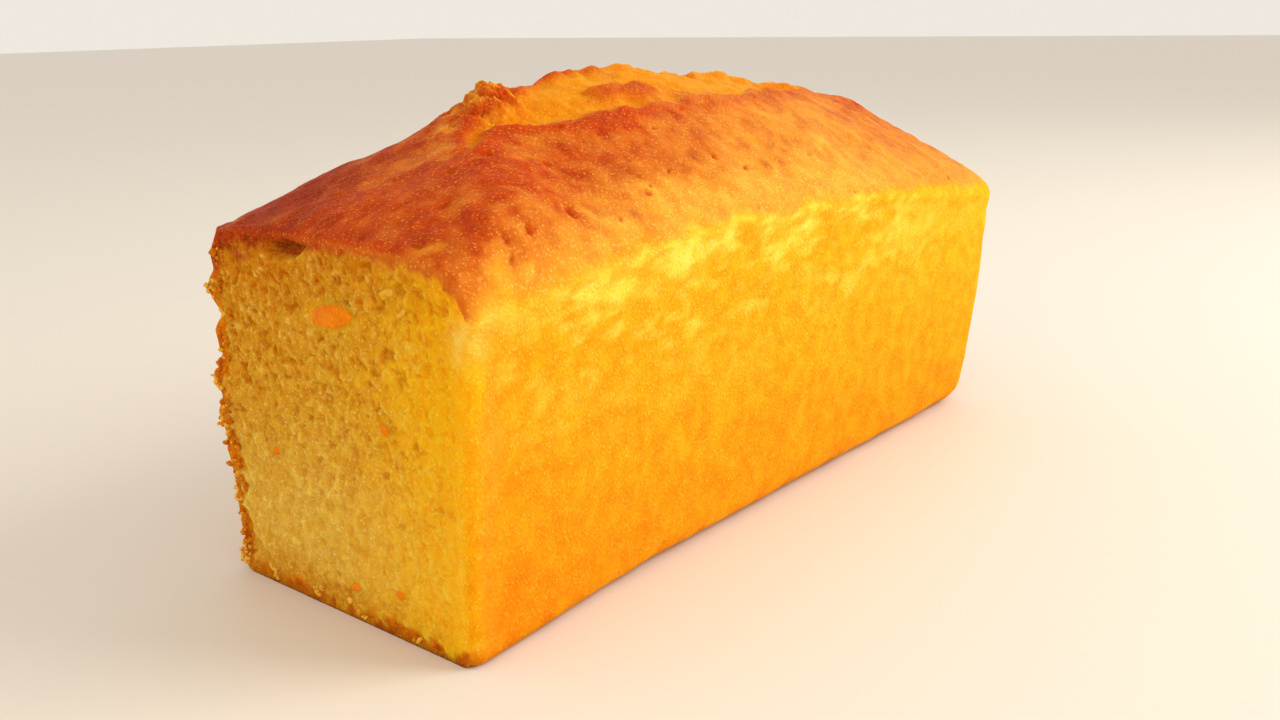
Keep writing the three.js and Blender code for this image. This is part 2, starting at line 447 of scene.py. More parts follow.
    def skin(self, along: Array, inset: Array, b: Array, h: Array, noise: LumpNoise) -> SkinPoints:
        """Points of the outer form.

        Args:
            along: Share of the length, from 0 at the cut to 1 at the far end.
            inset: What the rounded plan corners take off the half width.
            b: Place across, from -1 at -Y to 1 at +Y.
            h: Share of the height, from 0 at the base to 1 at the crust.
            noise: Noise for the lumps of the crust.

        Returns:
            The points with their masks.
        """
        level = np.full((), self.edge_height)
        top_half = self.half_width(np.ones(()), level, along) - inset
        top_y = b * top_half
        x = mix(self.cut_at(top_y), self.end_reach(np.ones(()), level), along)
        edge = self.edge(x, b)
        reach = np.where(top_y > self.ridge_y, top_half - self.ridge_y, top_half + self.ridge_y)
        v = np.clip(np.abs(top_y - self.ridge_y) / reach, 0, 1)
        change = smoothstep(x, self.cut_x, self.cut_x + self.dome_change)
        change_to_end = smoothstep(x, self.end_x - self.dome_change_to_end, self.end_x)
        power = {s: mix(self.dome_power_at_cut[s], self.dome_power[s], change) for s in Side}
        power = {s: mix(power[s], self.dome_power_at_end[s], change_to_end) for s in Side}
        power = np.where(top_y > self.ridge_y, power[Side.FAR], power[Side.NEAR])
        past = (x - (self.end_x - self.end_rounding)) / self.end_rounding
        share = 1 - quarter_round(1 - self.end_share, past)
        crown_x = x + self.cut_slope * (self.crown_y_at_cut - top_y) * (1 - change)
        soft = self.ridge_round_at_end * change_to_end
        fall = (np.hypot(v, soft) - soft) / (np.hypot(1, soft) - soft)
        dome = (self.ridge(crown_x) - edge) * share * (1 - fall**power)
        split, floor, lip = self.split.at(x, top_y, noise)
        flat = np.stack(np.broadcast_arrays(x, top_y, self.crust_level), -1)
        relief = split + self.crust_relief * noise.at(flat, self.crust_grain)
        relief = relief + sum(m.at(x, top_y) for m in self.mounds)
        top = edge + dome + relief * (1 - v**self.relief_fade)
        z = h * top
        bow = self.side_bow * np.sin(np.pi * h) * (1 - along)
        y = b * (self.half_width(h, z, along) - inset) + bow
        x = mix(self.cut_at(y), self.end_reach(h, z), along)
        points = np.stack(np.broadcast_arrays(x, y, z), -1)
        shape = points.shape[:-1]
        return SkinPoints(points, *(np.broadcast_to(m, shape) for m in (floor, lip, 1 - v, top)))


@dataclass
class Patch:
    """A grid of points with colour masks.

    Zones are top crust, gold and crumb: gold is the split's floor on the skin, and a painted glow of light
    through the crumb near the arris. Tones are toasting, paleness and depth: paleness on the crumb includes
    painted highlights on raised bits, and depth is amber on the sides, painted shade with dark mottle on the
    crust, and painted shade in the pores on the crumb.
    """

    LEAST_NORMAL = 1e-9

    points: Array
    zones: Array
    tones: Array

    def swell(self, amount: Array) -> None:
        """Moves each point by amount along the grid's own normal, rows crossed with columns.

        Args:
            amount: How far each point moves.
        """
        normal = np.cross(np.gradient(self.points, axis=0), np.gradient(self.points, axis=1))
        normal /= np.maximum(np.linalg.norm(normal, axis=-1, keepdims=True), self.LEAST_NORMAL)
        self.points = self.points + normal * amount[..., None]


class Shell:
    """A closed surface put together from grids of points and the strips that join their borders."""

    RIM_SCALE = (0.97, 0.94, 1)

    def __init__(self) -> None:
        """Starts with no points."""
        self.patches: list[Patch] = []
        self.quads: list[Array] = []
        self.triangles: list[Array] = []
        self.count = 0

    def add_points(self, patch: Patch) -> Array:
        """Adds a patch's points without faces.

        Args:
            patch: The points with their masks.

        Returns:
            Their indices, in the patch's own layout.
        """
        shape = patch.points.shape[:-1]
        ids = self.count + np.arange(int(np.prod(shape))).reshape(shape)
        self.patches.append(patch)
        self.count += ids.size
        return ids

    def add_grid(self, patch: Patch) -> Array:
        """Adds a patch with its faces, which point along rows crossed with columns.

        Args:
            patch: The points with their masks.

        Returns:
            Their indices, in the patch's own layout.
        """
        ids = self.add_points(patch)
        self.add_quads(ids)
        return ids

    def add_quads(self, ids: Array) -> None:
        """Adds the faces of a grid of indices."""
        corners = (ids[:-1, :-1], ids[1:, :-1], ids[1:, 1:], ids[:-1, 1:])
        self.quads.append(np.stack(corners, -1).reshape(-1, 4))

    def zip_rows(self, first: Array, second: Array, first_at: Array, second_at: Array) -> None:
        """Joins two rows of different counts by triangles: at each step the row that is behind moves on.

        Args:
            first: Indices of the first row.
            second: Indices of the second row.
            first_at: How far round the first row each point lies.
            second_at: The same for the second row.
        """
        steps = np.concatenate([first_at[1:], second_at[1:]])
        on_first = np.argsort(steps, kind="stable") < len(first) - 1
        i = np.cumsum(on_first) - on_first
        j = np.cumsum(~on_first) - ~on_first
        next_first = first[np.minimum(i + 1, len(first) - 1)]
        next_second = second[np.minimum(j + 1, len(second) - 1)]
        third = np.where(on_first, next_first, next_second)
        self.triangles.append(np.stack((first[i], second[j], third), -1))

    def close_flat(self, loop: Array) -> None:
        """Closes a flat loop by a narrow rim and triangles to its middle, facing against the loop's turn.

        Args:
            loop: Indices of the points round it.
        """
        patch = self.gather()
        rim = Patch(patch.points[loop] * self.RIM_SCALE, patch.zones[loop], patch.tones[loop])
        inner = self.add_points(rim)
        centre = Patch(rim.points[:1] * 0, rim.zones[:1], rim.tones[:1])
        middle = self.add_points(centre)[0]
        self.add_quads(np.stack([np.append(inner, inner[0]), np.append(loop, loop[0])], 1))
        self.triangles.append(np.stack([np.full(len(inner), middle), np.roll(inner, -1), inner], 1))

    def gather(self) -> Patch:
        """All points and masks so far as flat lists."""
        return Patch(
            np.concatenate([p.points.reshape(-1, 3) for p in self.patches]),
            np.concatenate([p.zones.reshape(-1, 3) for p in self.patches]),
            np.concatenate([p.tones.reshape(-1, 3) for p in self.patches]),
        )

    def build(self, name: str, shift: Array, material: bpy.types.Material) -> bpy.types.Object:
        """Makes the piece.

        Args:
            name: Name of the piece.
            shift: Move of all points, in millimetres.
            material: Its material, which reads the point colours "zones" and "tones".

        Returns:
            The new object, placed by its mesh.
        """
        patch = self.gather()
        quads = np.concatenate(self.quads) if self.quads else np.zeros((0, 4), int)
        triangles = np.concatenate(self.triangles) if self.triangles else np.zeros((0, 3), int)
        mesh = bpy.data.meshes.new(name)
        mesh.vertices.add(len(patch.points))
        mesh.vertices.foreach_set("co", ((patch.points + shift) * MM).astype(np.float32).ravel())
        corners = np.concatenate([quads.ravel(), triangles.ravel()])
        sizes = np.repeat([4, 3], [len(quads), len(triangles)])
        mesh.loops.add(len(corners))
        mesh.loops.foreach_set("vertex_index", corners.astype(np.int32))
        mesh.polygons.add(len(sizes))
        mesh.polygons.foreach_set("loop_start", (np.cumsum(sizes) - sizes).astype(np.int32))
        mesh.update(calc_edges=True)
        mesh.shade_smooth()
        for label, values in (("zones", patch.zones), ("tones", patch.tones)):
            colors = np.concatenate([np.clip(values, 0, 1), np.ones((len(values), 1))], 1)
            layer = mesh.attributes.new(label, "FLOAT_COLOR", "POINT")
            layer.data.foreach_set("color", colors.astype(np.float32).ravel())
        mesh.materials.append(material)
        piece = bpy.data.objects.new(name, mesh)
        bpy.context.scene.collection.objects.link(piece)
        LOG.info("%s: %d triangles", name, 2 * len(quads) + len(triangles))
        return piece


@dataclass(frozen=True)
class BakedFinish:
    """One baked surface: its deep, plain and bright colours."""

    deep: Color
    plain: Color
    bright: Color


@dataclass(frozen=True)
class GrainScales:
    """How fine the mottling and the grain of a surface are, per metre."""

    mottle: float
    grain: float


# The crusts' bright colours are pale sugar grains, painted bright enough to stand for their glints as well.
CRUST_LIGHT = BakedFinish((0.86, 0.30, 0.016), (0.93, 0.42, 0.036), (0.99, 0.68, 0.18))
CRUST_DARK = BakedFinish((0.44, 0.036, 0.001), (0.58, 0.062, 0.002), (0.88, 0.30, 0.045))
# Colours of the painted shade on the crust near the cut, also laid as random dark mottle.
DARK_MOTTLE_AND_SHADE = BakedFinish((0.22, 0.014, 0.001), (0.33, 0.022, 0.001), (0.62, 0.14, 0.015))
SIDE = BakedFinish((0.87, 0.32, 0.003), (0.93, 0.43, 0.007), (0.97, 0.61, 0.05))
SIDE_PALE = BakedFinish((0.93, 0.60, 0.03), (0.96, 0.74, 0.09), (0.98, 0.84, 0.24))
AMBER = BakedFinish((0.80, 0.170, 0.001), (0.90, 0.255, 0.003), (0.95, 0.40, 0.015))
BROWNED = BakedFinish((0.40, 0.06, 0.001), (0.54, 0.100, 0.002), (0.74, 0.21, 0.01))
FLOOR = BakedFinish((0.73, 0.21, 0.002), (0.83, 0.29, 0.004), (0.93, 0.45, 0.025))
CRUMB = BakedFinish((0.65, 0.27, 0.006), (0.79, 0.40, 0.024), (0.95, 0.67, 0.15))
# Painted glow: crumb painted brighter gold where light comes through it from the lit side.
PAINTED_GLOW = BakedFinish((0.96, 0.41, 0.003), (1.0, 0.52, 0.006), (1.0, 0.68, 0.05))
# Painted shade in the crumb's pores, as darker orange; also laid as warmer crumb near the crust, the +Y side
# and the base.
PORE_SHADE_AND_WARM = BakedFinish((0.50, 0.12, 0.0), (0.61, 0.175, 0.001), (0.72, 0.27, 0.006))
# Paler crumb, also laid as painted highlights on raised flakes and lumps.
PALE = BakedFinish((0.86, 0.53, 0.06), (0.96, 0.69, 0.13), (0.99, 0.83, 0.30))
PEEL = BakedFinish((0.78, 0.18, 0.001), (0.87, 0.25, 0.002), (0.94, 0.40, 0.01))
# Loose bits are painted lighter than the crust and crumb they come from, to make up for the shade they sit
# in; the loose crumbs are also paler in themselves.
CRUST_BIT = BakedFinish((0.57, 0.14, 0.001), (0.72, 0.22, 0.005), (0.88, 0.40, 0.045))
CRUMB_BIT = BakedFinish((0.80, 0.40, 0.025), (0.90, 0.52, 0.06), (0.96, 0.70, 0.18))
PALE_SHARE = 0.9
SKIN_SCALES = GrainScales(250, 1800)
CRUMB_SCALES = GrainScales(420, 1700)
BIT_SCALES = GrainScales(500, 1700)


class NodeDesk:
    """Adds nodes to a tree and links or sets their sockets."""

    def __init__(self, tree: bpy.types.NodeTree) -> None:
        """Works on the given tree."""
        self.tree = tree

    def add(self, kind: str, inputs: dict | None = None, **settings: object) -> bpy.types.Node:
        """Adds a node.

        Args:
            kind: Blender's name of the node type.
            inputs: Socket name or number to a socket to link from, or a value to set.
            **settings: Properties of the node.

        Returns:
            The new node.
        """
        node = self.tree.nodes.new(kind)
        for key, value in settings.items():
            setattr(node, key, value)
        self.wire(node, inputs or {})
        return node

    def wire(self, node: bpy.types.Node, inputs: dict) -> None:
        """Links or sets a node's inputs.

        Args:
            node: The node.
            inputs: Socket name or number to a socket to link from, or a value to set.
        """
        for key, value in inputs.items():
            if isinstance(value, bpy.types.NodeSocket):
                self.tree.links.new(value, node.inputs[key])
            else:
                node.inputs[key].default_value = value

    def blend(self, share: object, a: object, b: object) -> bpy.types.NodeSocket:
        """Blend of two colours by a share; returns the colour."""
        sockets = {0: share, 6: a, 7: b}
        return self.add("ShaderNodeMix", sockets, data_type="RGBA").outputs[2]

    def ease(self, share: object, a: object, b: object) -> bpy.types.NodeSocket:
        """Blend of two values by a share; returns the value."""
        return self.add("ShaderNodeMix", {0: share, 2: a, 3: b}, data_type="FLOAT").outputs[0]

    def remap(
        self, value: object, low: float, high: float, to_low: float = 0, to_high: float = 1
    ) -> bpy.types.NodeSocket:
        """Value carried from low..high to another span, held to its ends.

        Args:
            value: The value or its socket.
            low: Value that becomes to_low.
            high: Value that becomes to_high.
            to_low: Start of the new span.
            to_high: End of the new span.

        Returns:
            The carried value.
        """
        sockets = {"Value": value, "From Min": low, "From Max": high, "To Min": to_low, "To Max": to_high}
        return self.add("ShaderNodeMapRange", sockets).outputs["Result"]

    def math(self, operation: str, a: object, b: object) -> bpy.types.NodeSocket:
        """Result of a sum, product or other operation on two values."""
        return self.add("ShaderNodeMath", {0: a, 1: b}, operation=operation).outputs[0]

    def mask(self, attribute: str) -> list[bpy.types.NodeSocket]:
        """The three channels of a point colour.

        Args:
            attribute: Name of the point colour.

        Returns:
            The channels' sockets.
        """
        read = self.add("ShaderNodeAttribute", attribute_name=attribute, attribute_type="GEOMETRY")
        split = self.add("ShaderNodeSeparateColor", {"Color": read.outputs["Color"]})
        return list(split.outputs)


def opaque(color: Color) -> tuple[float, float, float, float]:
    """The colour with alpha 1."""
    return (*color, 1.0)


class BakedGrain:
    """Shader group for baked dough: mottling from deep to plain, and bright grains, with their height."""

    NAME = "Baked grain"
    COLORS = ("Deep", "Plain", "Bright")
    SCALES = ("Mottle", "Grain")
    MOTTLE_SPAN = (0.34, 0.64)
    SPECK_SPAN = (0.55, 0.15)
    SPECK_CHANCE = (0.2, 1.0)
    SPECK_FADE = (0.3, 0.6, 0.35, 1.0)
    SPECK_HEIGHT = 0.35
    SHADE_SPAN = (0.5, 0.3, 0, 0.6)
    SHADE_CHANCE = (0.2, 0.8)
    NOISE_ROUGHNESS = 0.6
    MOTTLE_DETAIL = 3
    GRAIN_DETAIL = 2

    def __init__(self) -> None:
        """Builds the group once."""
        self.tree = bpy.data.node_groups.new(self.NAME, "ShaderNodeTree")
        face = self.tree.interface
        face.new_socket("Place", in_out="INPUT", socket_type="NodeSocketVector")
        for name in self.COLORS:
            face.new_socket(name, in_out="INPUT", socket_type="NodeSocketColor")
        for name in self.SCALES:
            face.new_socket(name, in_out="INPUT", socket_type="NodeSocketFloat")
        face.new_socket("Color", in_out="OUTPUT", socket_type="NodeSocketColor")
        face.new_socket("Height", in_out="OUTPUT", socket_type="NodeSocketFloat")
        desk = NodeDesk(self.tree)
        given = desk.add("NodeGroupInput").outputs
        coarse = self.noise(desk, given["Place"], given["Mottle"], self.MOTTLE_DETAIL)
        fine = self.noise(desk, given["Place"], given["Grain"], self.GRAIN_DETAIL)
        base = desk.blend(desk.remap(coarse, *self.MOTTLE_SPAN), given["Deep"], given["Plain"])
        sockets = {"Vector": given["Place"], "Scale": given["Grain"], "Randomness": 1.0}
        cells = desk.add("ShaderNodeTexVoronoi", sockets).outputs
        chance = desk.add("ShaderNodeSeparateColor", {"Color": cells["Color"]}).outputs
        speck = desk.remap(cells["Distance"], *self.SPECK_SPAN)
        speck = desk.math("MULTIPLY", speck, desk.remap(chance[0], *self.SPECK_CHANCE))
        bright = desk.math("MULTIPLY", speck, desk.remap(fine, *self.SPECK_FADE))
        color = desk.blend(bright, base, given["Bright"])
        shade = desk.remap(fine, *self.SHADE_SPAN)
        shade = desk.math("MULTIPLY", shade, desk.remap(chance[1], *self.SHADE_CHANCE))
        color = desk.blend(shade, color, given["Deep"])
        height = desk.math("ADD", fine, desk.math("MULTIPLY", speck, self.SPECK_HEIGHT))
        desk.add("NodeGroupOutput", {"Color": color, "Height": height})

    def noise(self, desk: NodeDesk, place: object, scale: object, detail: float) -> bpy.types.NodeSocket:
        """Noise texture's value at a place."""
        sockets = {"Vector": place, "Scale": scale, "Detail": detail, "Roughness": self.NOISE_ROUGHNESS}
        return desk.add("ShaderNodeTexNoise", sockets).outputs["Fac"]

    def place(
        self, desk: NodeDesk, place: object, scales: GrainScales, colors: dict[str, object]
    ) -> bpy.types.Node:
        """Puts the group into a material.

        Args:
            desk: The material's nodes.
            place: Object coordinates.
            scales: How fine the mottling and the grain are.
            colors: The deep, plain and bright colours, as values or sockets.

        Returns:
            The group node.
        """
        node = desk.add("ShaderNodeGroup", node_tree=self.tree)
        desk.wire(node, {"Place": place, "Mottle": scales.mottle, "Grain": scales.grain, **colors})
        return node


@dataclass(frozen=True)
class SoftGlow:
    """Light that enters the crumb and comes out nearby."""

    weight: float = 0.7
    radius: Color = (1.0, 0.5, 0.12)
    scale: float = 0.007
    mirror: float = 0.03

    def set_on(self, shader: bpy.types.Node) -> None:
        """Sets the glow on a surface shader.

        Args:
            shader: The surface shader.
        """
        shader.inputs["Subsurface Weight"].default_value = self.weight
        shader.inputs["Subsurface Radius"].default_value = self.radius
        shader.inputs["Subsurface Scale"].default_value = self.scale
        shader.inputs["Specular IOR Level"].default_value = self.mirror


@dataclass(frozen=True)
class FineRelief:
    """Bumps that the grain gives a surface: their strength, and their height in metres."""

    strength: float
    distance: float

    def normal(self, desk: NodeDesk, height: object) -> bpy.types.NodeSocket:
        """Normal of a surface with bumps of the given height."""
        sockets = {"Height": height, "Strength": self.strength, "Distance": self.distance}
        return desk.add("ShaderNodeBump", sockets).outputs["Normal"]


@dataclass(frozen=True)
class BitFinish:
    """Finish of small bits: the name of the material, its colours and its roughness."""

    name: str
    baked: BakedFinish
    roughness: float


PEEL_BITS = BitFinish("peel", PEEL, 0.35)
CRUMB_BITS = BitFinish("crumb bits", CRUMB_BIT, 0.8)
CRUST_BITS = BitFinish("crust bits", CRUST_BIT, 0.7)


class Materials:
    """The materials of the loaf, its peel and its crumbs."""

    GLOSS = (0.35, 0.65, 0.36, 0.56)
    SIDE_ROUGHNESS = 0.72
    CRUMB_ROUGHNESS = 0.85
    LOAF_RELIEF = FineRelief(0.9, 0.0008)
    BIT_RELIEF = FineRelief(0.6, 0.0004)

    def __init__(self, grain: BakedGrain, glow: SoftGlow) -> None:
        """Keeps the shared group and glow."""
        self.grain = grain
        self.glow = glow

    @staticmethod
    def start(name: str) -> tuple[bpy.types.Material, NodeDesk, bpy.types.Node]:
        """Starts a new material.

        Args:
            name: Name of the material.

        Returns:
            The material, its nodes and its surface shader.
        """
        material = bpy.data.materials.new(name)
        material.use_nodes = True
        desk = NodeDesk(material.node_tree)
        return material, desk, material.node_tree.nodes["Principled BSDF"]

    @staticmethod
    def layered(
        desk: NodeDesk, base: BakedFinish, layers: list[tuple[object, BakedFinish]]
    ) -> dict[str, object]:
        """Lays finishes over a base, each by its mask.

        Args:
            desk: The material's nodes.
            base: The finish below.
            layers: Mask and finish of each layer, from the lowest up.

        Returns:
            The deep, plain and bright colours.
        """
        colors = {}
        for name in BakedGrain.COLORS:
            color = opaque(getattr(base, name.lower()))
            for mask, finish in layers:
                color = desk.blend(mask, color, opaque(getattr(finish, name.lower())))
            colors[name] = color
        return colors

    def loaf(self) -> bpy.types.Material:
        """Crust, sides, split floor and crumb, laid over each other by the point colours.

        Returns:
            The material.
        """
        material, desk, shader = self.start("loaf")
        place = desk.add("ShaderNodeTexCoord").outputs["Object"]
        # Zone two is the split's floor on the crust and a painted glow on the crumb. Tone three is amber on
        # the sides, painted shade with dark mottle on the crust, and painted shade in the pores on the crumb.
        top, floor, crumb = desk.mask("zones")
        toast, pale, pore = desk.mask("tones")
        dark = desk.math("MULTIPLY", top, toast)
        shade_and_mottle = desk.math("MULTIPLY", top, pore)
        over_side = [
            (pale, SIDE_PALE),
            (pore, AMBER),
            (toast, BROWNED),
            (top, CRUST_LIGHT),
            (dark, CRUST_DARK),
            (shade_and_mottle, DARK_MOTTLE_AND_SHADE),
            (floor, FLOOR),
        ]
        # Over the crumb: painted glow, painted shade in the pores with warmer crumb, and paleness that
        # includes painted highlights.
        over_crumb = [(floor, PAINTED_GLOW), (pore, PORE_SHADE_AND_WARM), (desk.math("MULTIPLY", pale, PALE_SHARE), PALE)]
        skin = self.grain.place(desk, place, SKIN_SCALES, self.layered(desk, SIDE, over_side)).outputs
        inside = self.grain.place(desk, place, CRUMB_SCALES, self.layered(desk, CRUMB, over_crumb)).outputs
        gloss = desk.remap(skin["Height"], *self.GLOSS)
        dull = desk.ease(crumb, desk.ease(top, self.SIDE_ROUGHNESS, gloss), self.CRUMB_ROUGHNESS)
        normal = self.LOAF_RELIEF.normal(desk, desk.ease(crumb, skin["Height"], inside["Height"]))
        color = desk.blend(crumb, skin["Color"], inside["Color"])
        desk.wire(shader, {"Base Color": color, "Roughness": dull, "Normal": normal})
        self.glow.set_on(shader)
        return material

    def bits(self, finish: BitFinish) -> bpy.types.Material:
        """One finish all over, for peel and crumbs.

        Args:
            finish: Its name, colours and roughness.

        Returns:
            The material.
        """
        material, desk, shader = self.start(finish.name)
        place = desk.add("ShaderNodeTexCoord").outputs["Object"]
        grain = self.grain.place(desk, place, BIT_SCALES, self.layered(desk, finish.baked, [])).outputs
        normal = self.BIT_RELIEF.normal(desk, grain["Height"])
        desk.wire(shader, {"Base Color": grain["Color"], "Roughness": finish.roughness, "Normal": normal})
        shader.inputs["Specular IOR Level"].default_value = self.glow.mirror
        return material


@dataclass(frozen=True)
class BitPlace:
    """A bit set in the cut face, in millimetres: its place, half sizes and turn in the face."""

    y: float
    z: float
    half_width: float
    half_height: float
    proud: float
    turn: float = 0.0
    sunk: float = 0.0


PEEL_SPOTS = [
    BitPlace(-0.6, 49.6, 6.6, 2.3, 0.7, -0.12, 0.3),
    BitPlace(-12.0, 33.7, 1.5, 1.0, 0.8, 0.5, 0.4),
    BitPlace(18.0, 24.3, 1.2, 0.9, 0.8, -0.4, 0.4),
    BitPlace(-2.0, 5.6, 1.9, 0.9, 0.8, -0.3, 0.45),
    BitPlace(-13.5, 7.4, 1.5, 0.9, 0.8, -0.2, 0.45),
]


@dataclass(frozen=True)
class EdgeMark:
    """A lump or notch on the cut's +Y border, in millimetres: its height, how far it stands out, spread."""

    z: float
    out: float
    spread: float


@dataclass(frozen=True)
class Hollow:
    """The hollow in the cut face under the crust, in millimetres."""

    y: float = 12.0
    below_crust: float = 2.6
    depth: float = 3.2
    half_width: float = 6.0
    half_height: float = 1.9
    slant: float = 0.13
    wall: Span = Span(0.5, 1.1)

    def share(self, y: Array, roof: Array, torn: Array) -> Array:
        """Share of the hollow: a smooth fall with the distance from its middle over its half sizes.

        Args:
            y: Place across.
            roof: Distance under the crust.
            torn: Noise that tears its border.

        Returns:
            One share for each place.
        """
        below = roof - self.below_crust - self.slant * (y - self.y)
        away = np.hypot((y - self.y) / self.half_width, below / self.half_height)
        return self.wall.fall(away + torn)


@dataclass(frozen=True)
class SkinRelief:
    """Low relief of the skin, in millimetres."""

    crust: Lumps = Lumps(0.16, 3.2)
    crust_share: float = 0.5
    lip_rough: float = 0.8
    torn: Lumps = Lumps(1, 2.8)
    torn_height: tuple[float, float] = (0.26, 0.45)
    crag_lift: float = 0.5
    crag_ridges: Lumps = Lumps(1.4, 3.2)
    crag_bits: Lumps = Lumps(0.55, 1.5, 2)
    flakes: Lumps = Lumps(0.7, 1.8, 2)
    side: Lumps = Lumps(0.2, 8.0)
    small_pit: float = 0.5
    base_fade: Span = Span(0, 2)
    cut_fade: Span = Span(0, 1.5)
    fray_round: float = 4.0
    fray_along: float = 1.3


@dataclass(frozen=True)
class SkinLook:
    """How the skin is coloured: shares of each tone, and where they change, in millimetres."""

    wobble: Lumps = Lumps(1, 6.0)
    edge_fade: tuple[tuple[float, float], ...] = ((-94, 1.2), (-82, 2.2), (-75, 2.6), (-35, 1.3))
    edge_level: tuple[float, float] = (0.975, 0.955)
    edge_level_x: Span = Span(-96, -72)
    edge_wobble: float = 1.2
    drawn_back: float = 8.0
    drawn_slope: Span = Span(-0.05, 0.06)
    drawn_wobble: float = 0.03
    bared: Span = Span(0, 7)
    bared_wobble: float = 1.5
    bared_foot: Span = Span(1, 4)
    # Painted light: the crumb bared along the arris is painted paler.
    bared_painted_light: float = 0.2
    bared_amber: float = 0.35
    slope_x: Span = Span(-88, -40)
    slope_wobble: float = 0.08
    slope_reach: tuple[float, float] = (0.34, 0.43)
    slope_start: tuple[float, float] = (-0.55, -0.15)
    toast: tuple[float, float] = (0.98, 0.36)
    toast_x: Span = Span(-80, 55)
    end_toast: float = 0.3
    end_x: Span = Span(20, 60)
    coarse_mottle: Lumps = Lumps(0.12, 9.0)
    fine_mottle: Lumps = Lumps(0.16, 2.6, 2)
    fine_shift: float = 20.0
    mottled: Span = Span(0, 0.4)
    pit_toast: float = 0.75
    pit: Span = Span(0.1, 0.6)
    lip_toast: float = 0.3
    bump_toast: float = 0.2
    flake_light: float = 0.75
    crag_light: float = 0.25
    crag_flakes: float = 0.5
    torn: Lumps = Lumps(1, 2.4)
    torn_edge: Span = Span(-0.5, 0.5)
    # Painted shade: the crust is painted darker on its +Y slope near the cut, which faces away from the key
    # light; random dark mottle is added over all the crust.
    shade_and_mottle: float = 0.85
    painted_shade_x: Span = Span(-72, -46)
    painted_shade_y: Span = Span(-1, 17)
    painted_shade_wobble: float = 3.0
    dark_mottle: float = 1.2
    base_toast: float = 0.45
    base_z: Span = Span(0.3, 3.0)
    base_wobble: float = 1.5
    amber: float = 0.72
    amber_z: Span = Span(-8, 46)
    amber_lumps: Lumps = Lumps(5, 6.0)
    amber_at_cut: float = 0.25
    amber_at_cut_z: Span = Span(25, 60)
    amber_reach: float = 12.0
    # Painted light: amber falls away along the arris, so the shaded rounding there is painted brighter.
    arris_painted_light: float = 0.7
    arris_painted_light_reach: float = 2.0
    band: float = 0.8
    band_level: Span = Span(0.4, 0.85)
    band_end: Span = Span(10, 75)
    band_end_loss: float = 0.7
    band_cut: Span = Span(-92, -68)
    band_cut_share: float = 0.25
    cluster_fine: Lumps = Lumps(0.8, 1.6, 2)
    cluster_fine_stretch: float = 0.4
    cluster_coarse: Lumps = Lumps(0.8, 7.0, 1)
    cluster_coarse_stretch: float = 0.3
    clusters: Span = Span(-0.25, 1.0)
    patch_wobble: tuple[float, float] = (3.0, 1.5)
    patch_squeeze: float = 0.35
    patch_share: tuple[float, float] = (0.5, 0.6)
    far_patches: float = 0.5
    crust_pale_loss: float = 0.6


@dataclass(frozen=True)
class CutRelief:
    """Pores and lumps of the cut face, in millimetres."""

    pores: PitField = PitField(3.3, 1.2, 0.5, 21)
    pore_stretch: float = 1.35
    pore_depth: float = 0.4
    small_pores: PitField = PitField(1.6, 0.72, 0.75, 22)
    small_stretch: float = 1.3
    small_depth: float = 0.3
    small_least: float = 0.6
    pore_wall: Span = Span(0, 0.9)
    open_least: float = 0.3
    open_z: Span = Span(6, 26)
    flakes: PitField = PitField(5.0, 0.6, 0.45, 23)
    flake_shift: float = 31.0
    flake_height: float = 0.25
    flake_wall: Span = Span(0.1, 0.7)
    warp: Lumps = Lumps(0.9, 1.8)
    warp_shift: float = 50.0
    coarse: Lumps = Lumps(0.16, 4.0)
    fine: Lumps = Lumps(0.28, 1.0, 2)
    hollow_torn: Lumps = Lumps(0.25, 2.0)
    peel_bed: Span = Span(0.9, 1.35)
    border_fade: Span = Span(0, 1.2)
    near_fade: Span = Span(0, 4)
    roof_fade: Span = Span(0.5, 1.6)


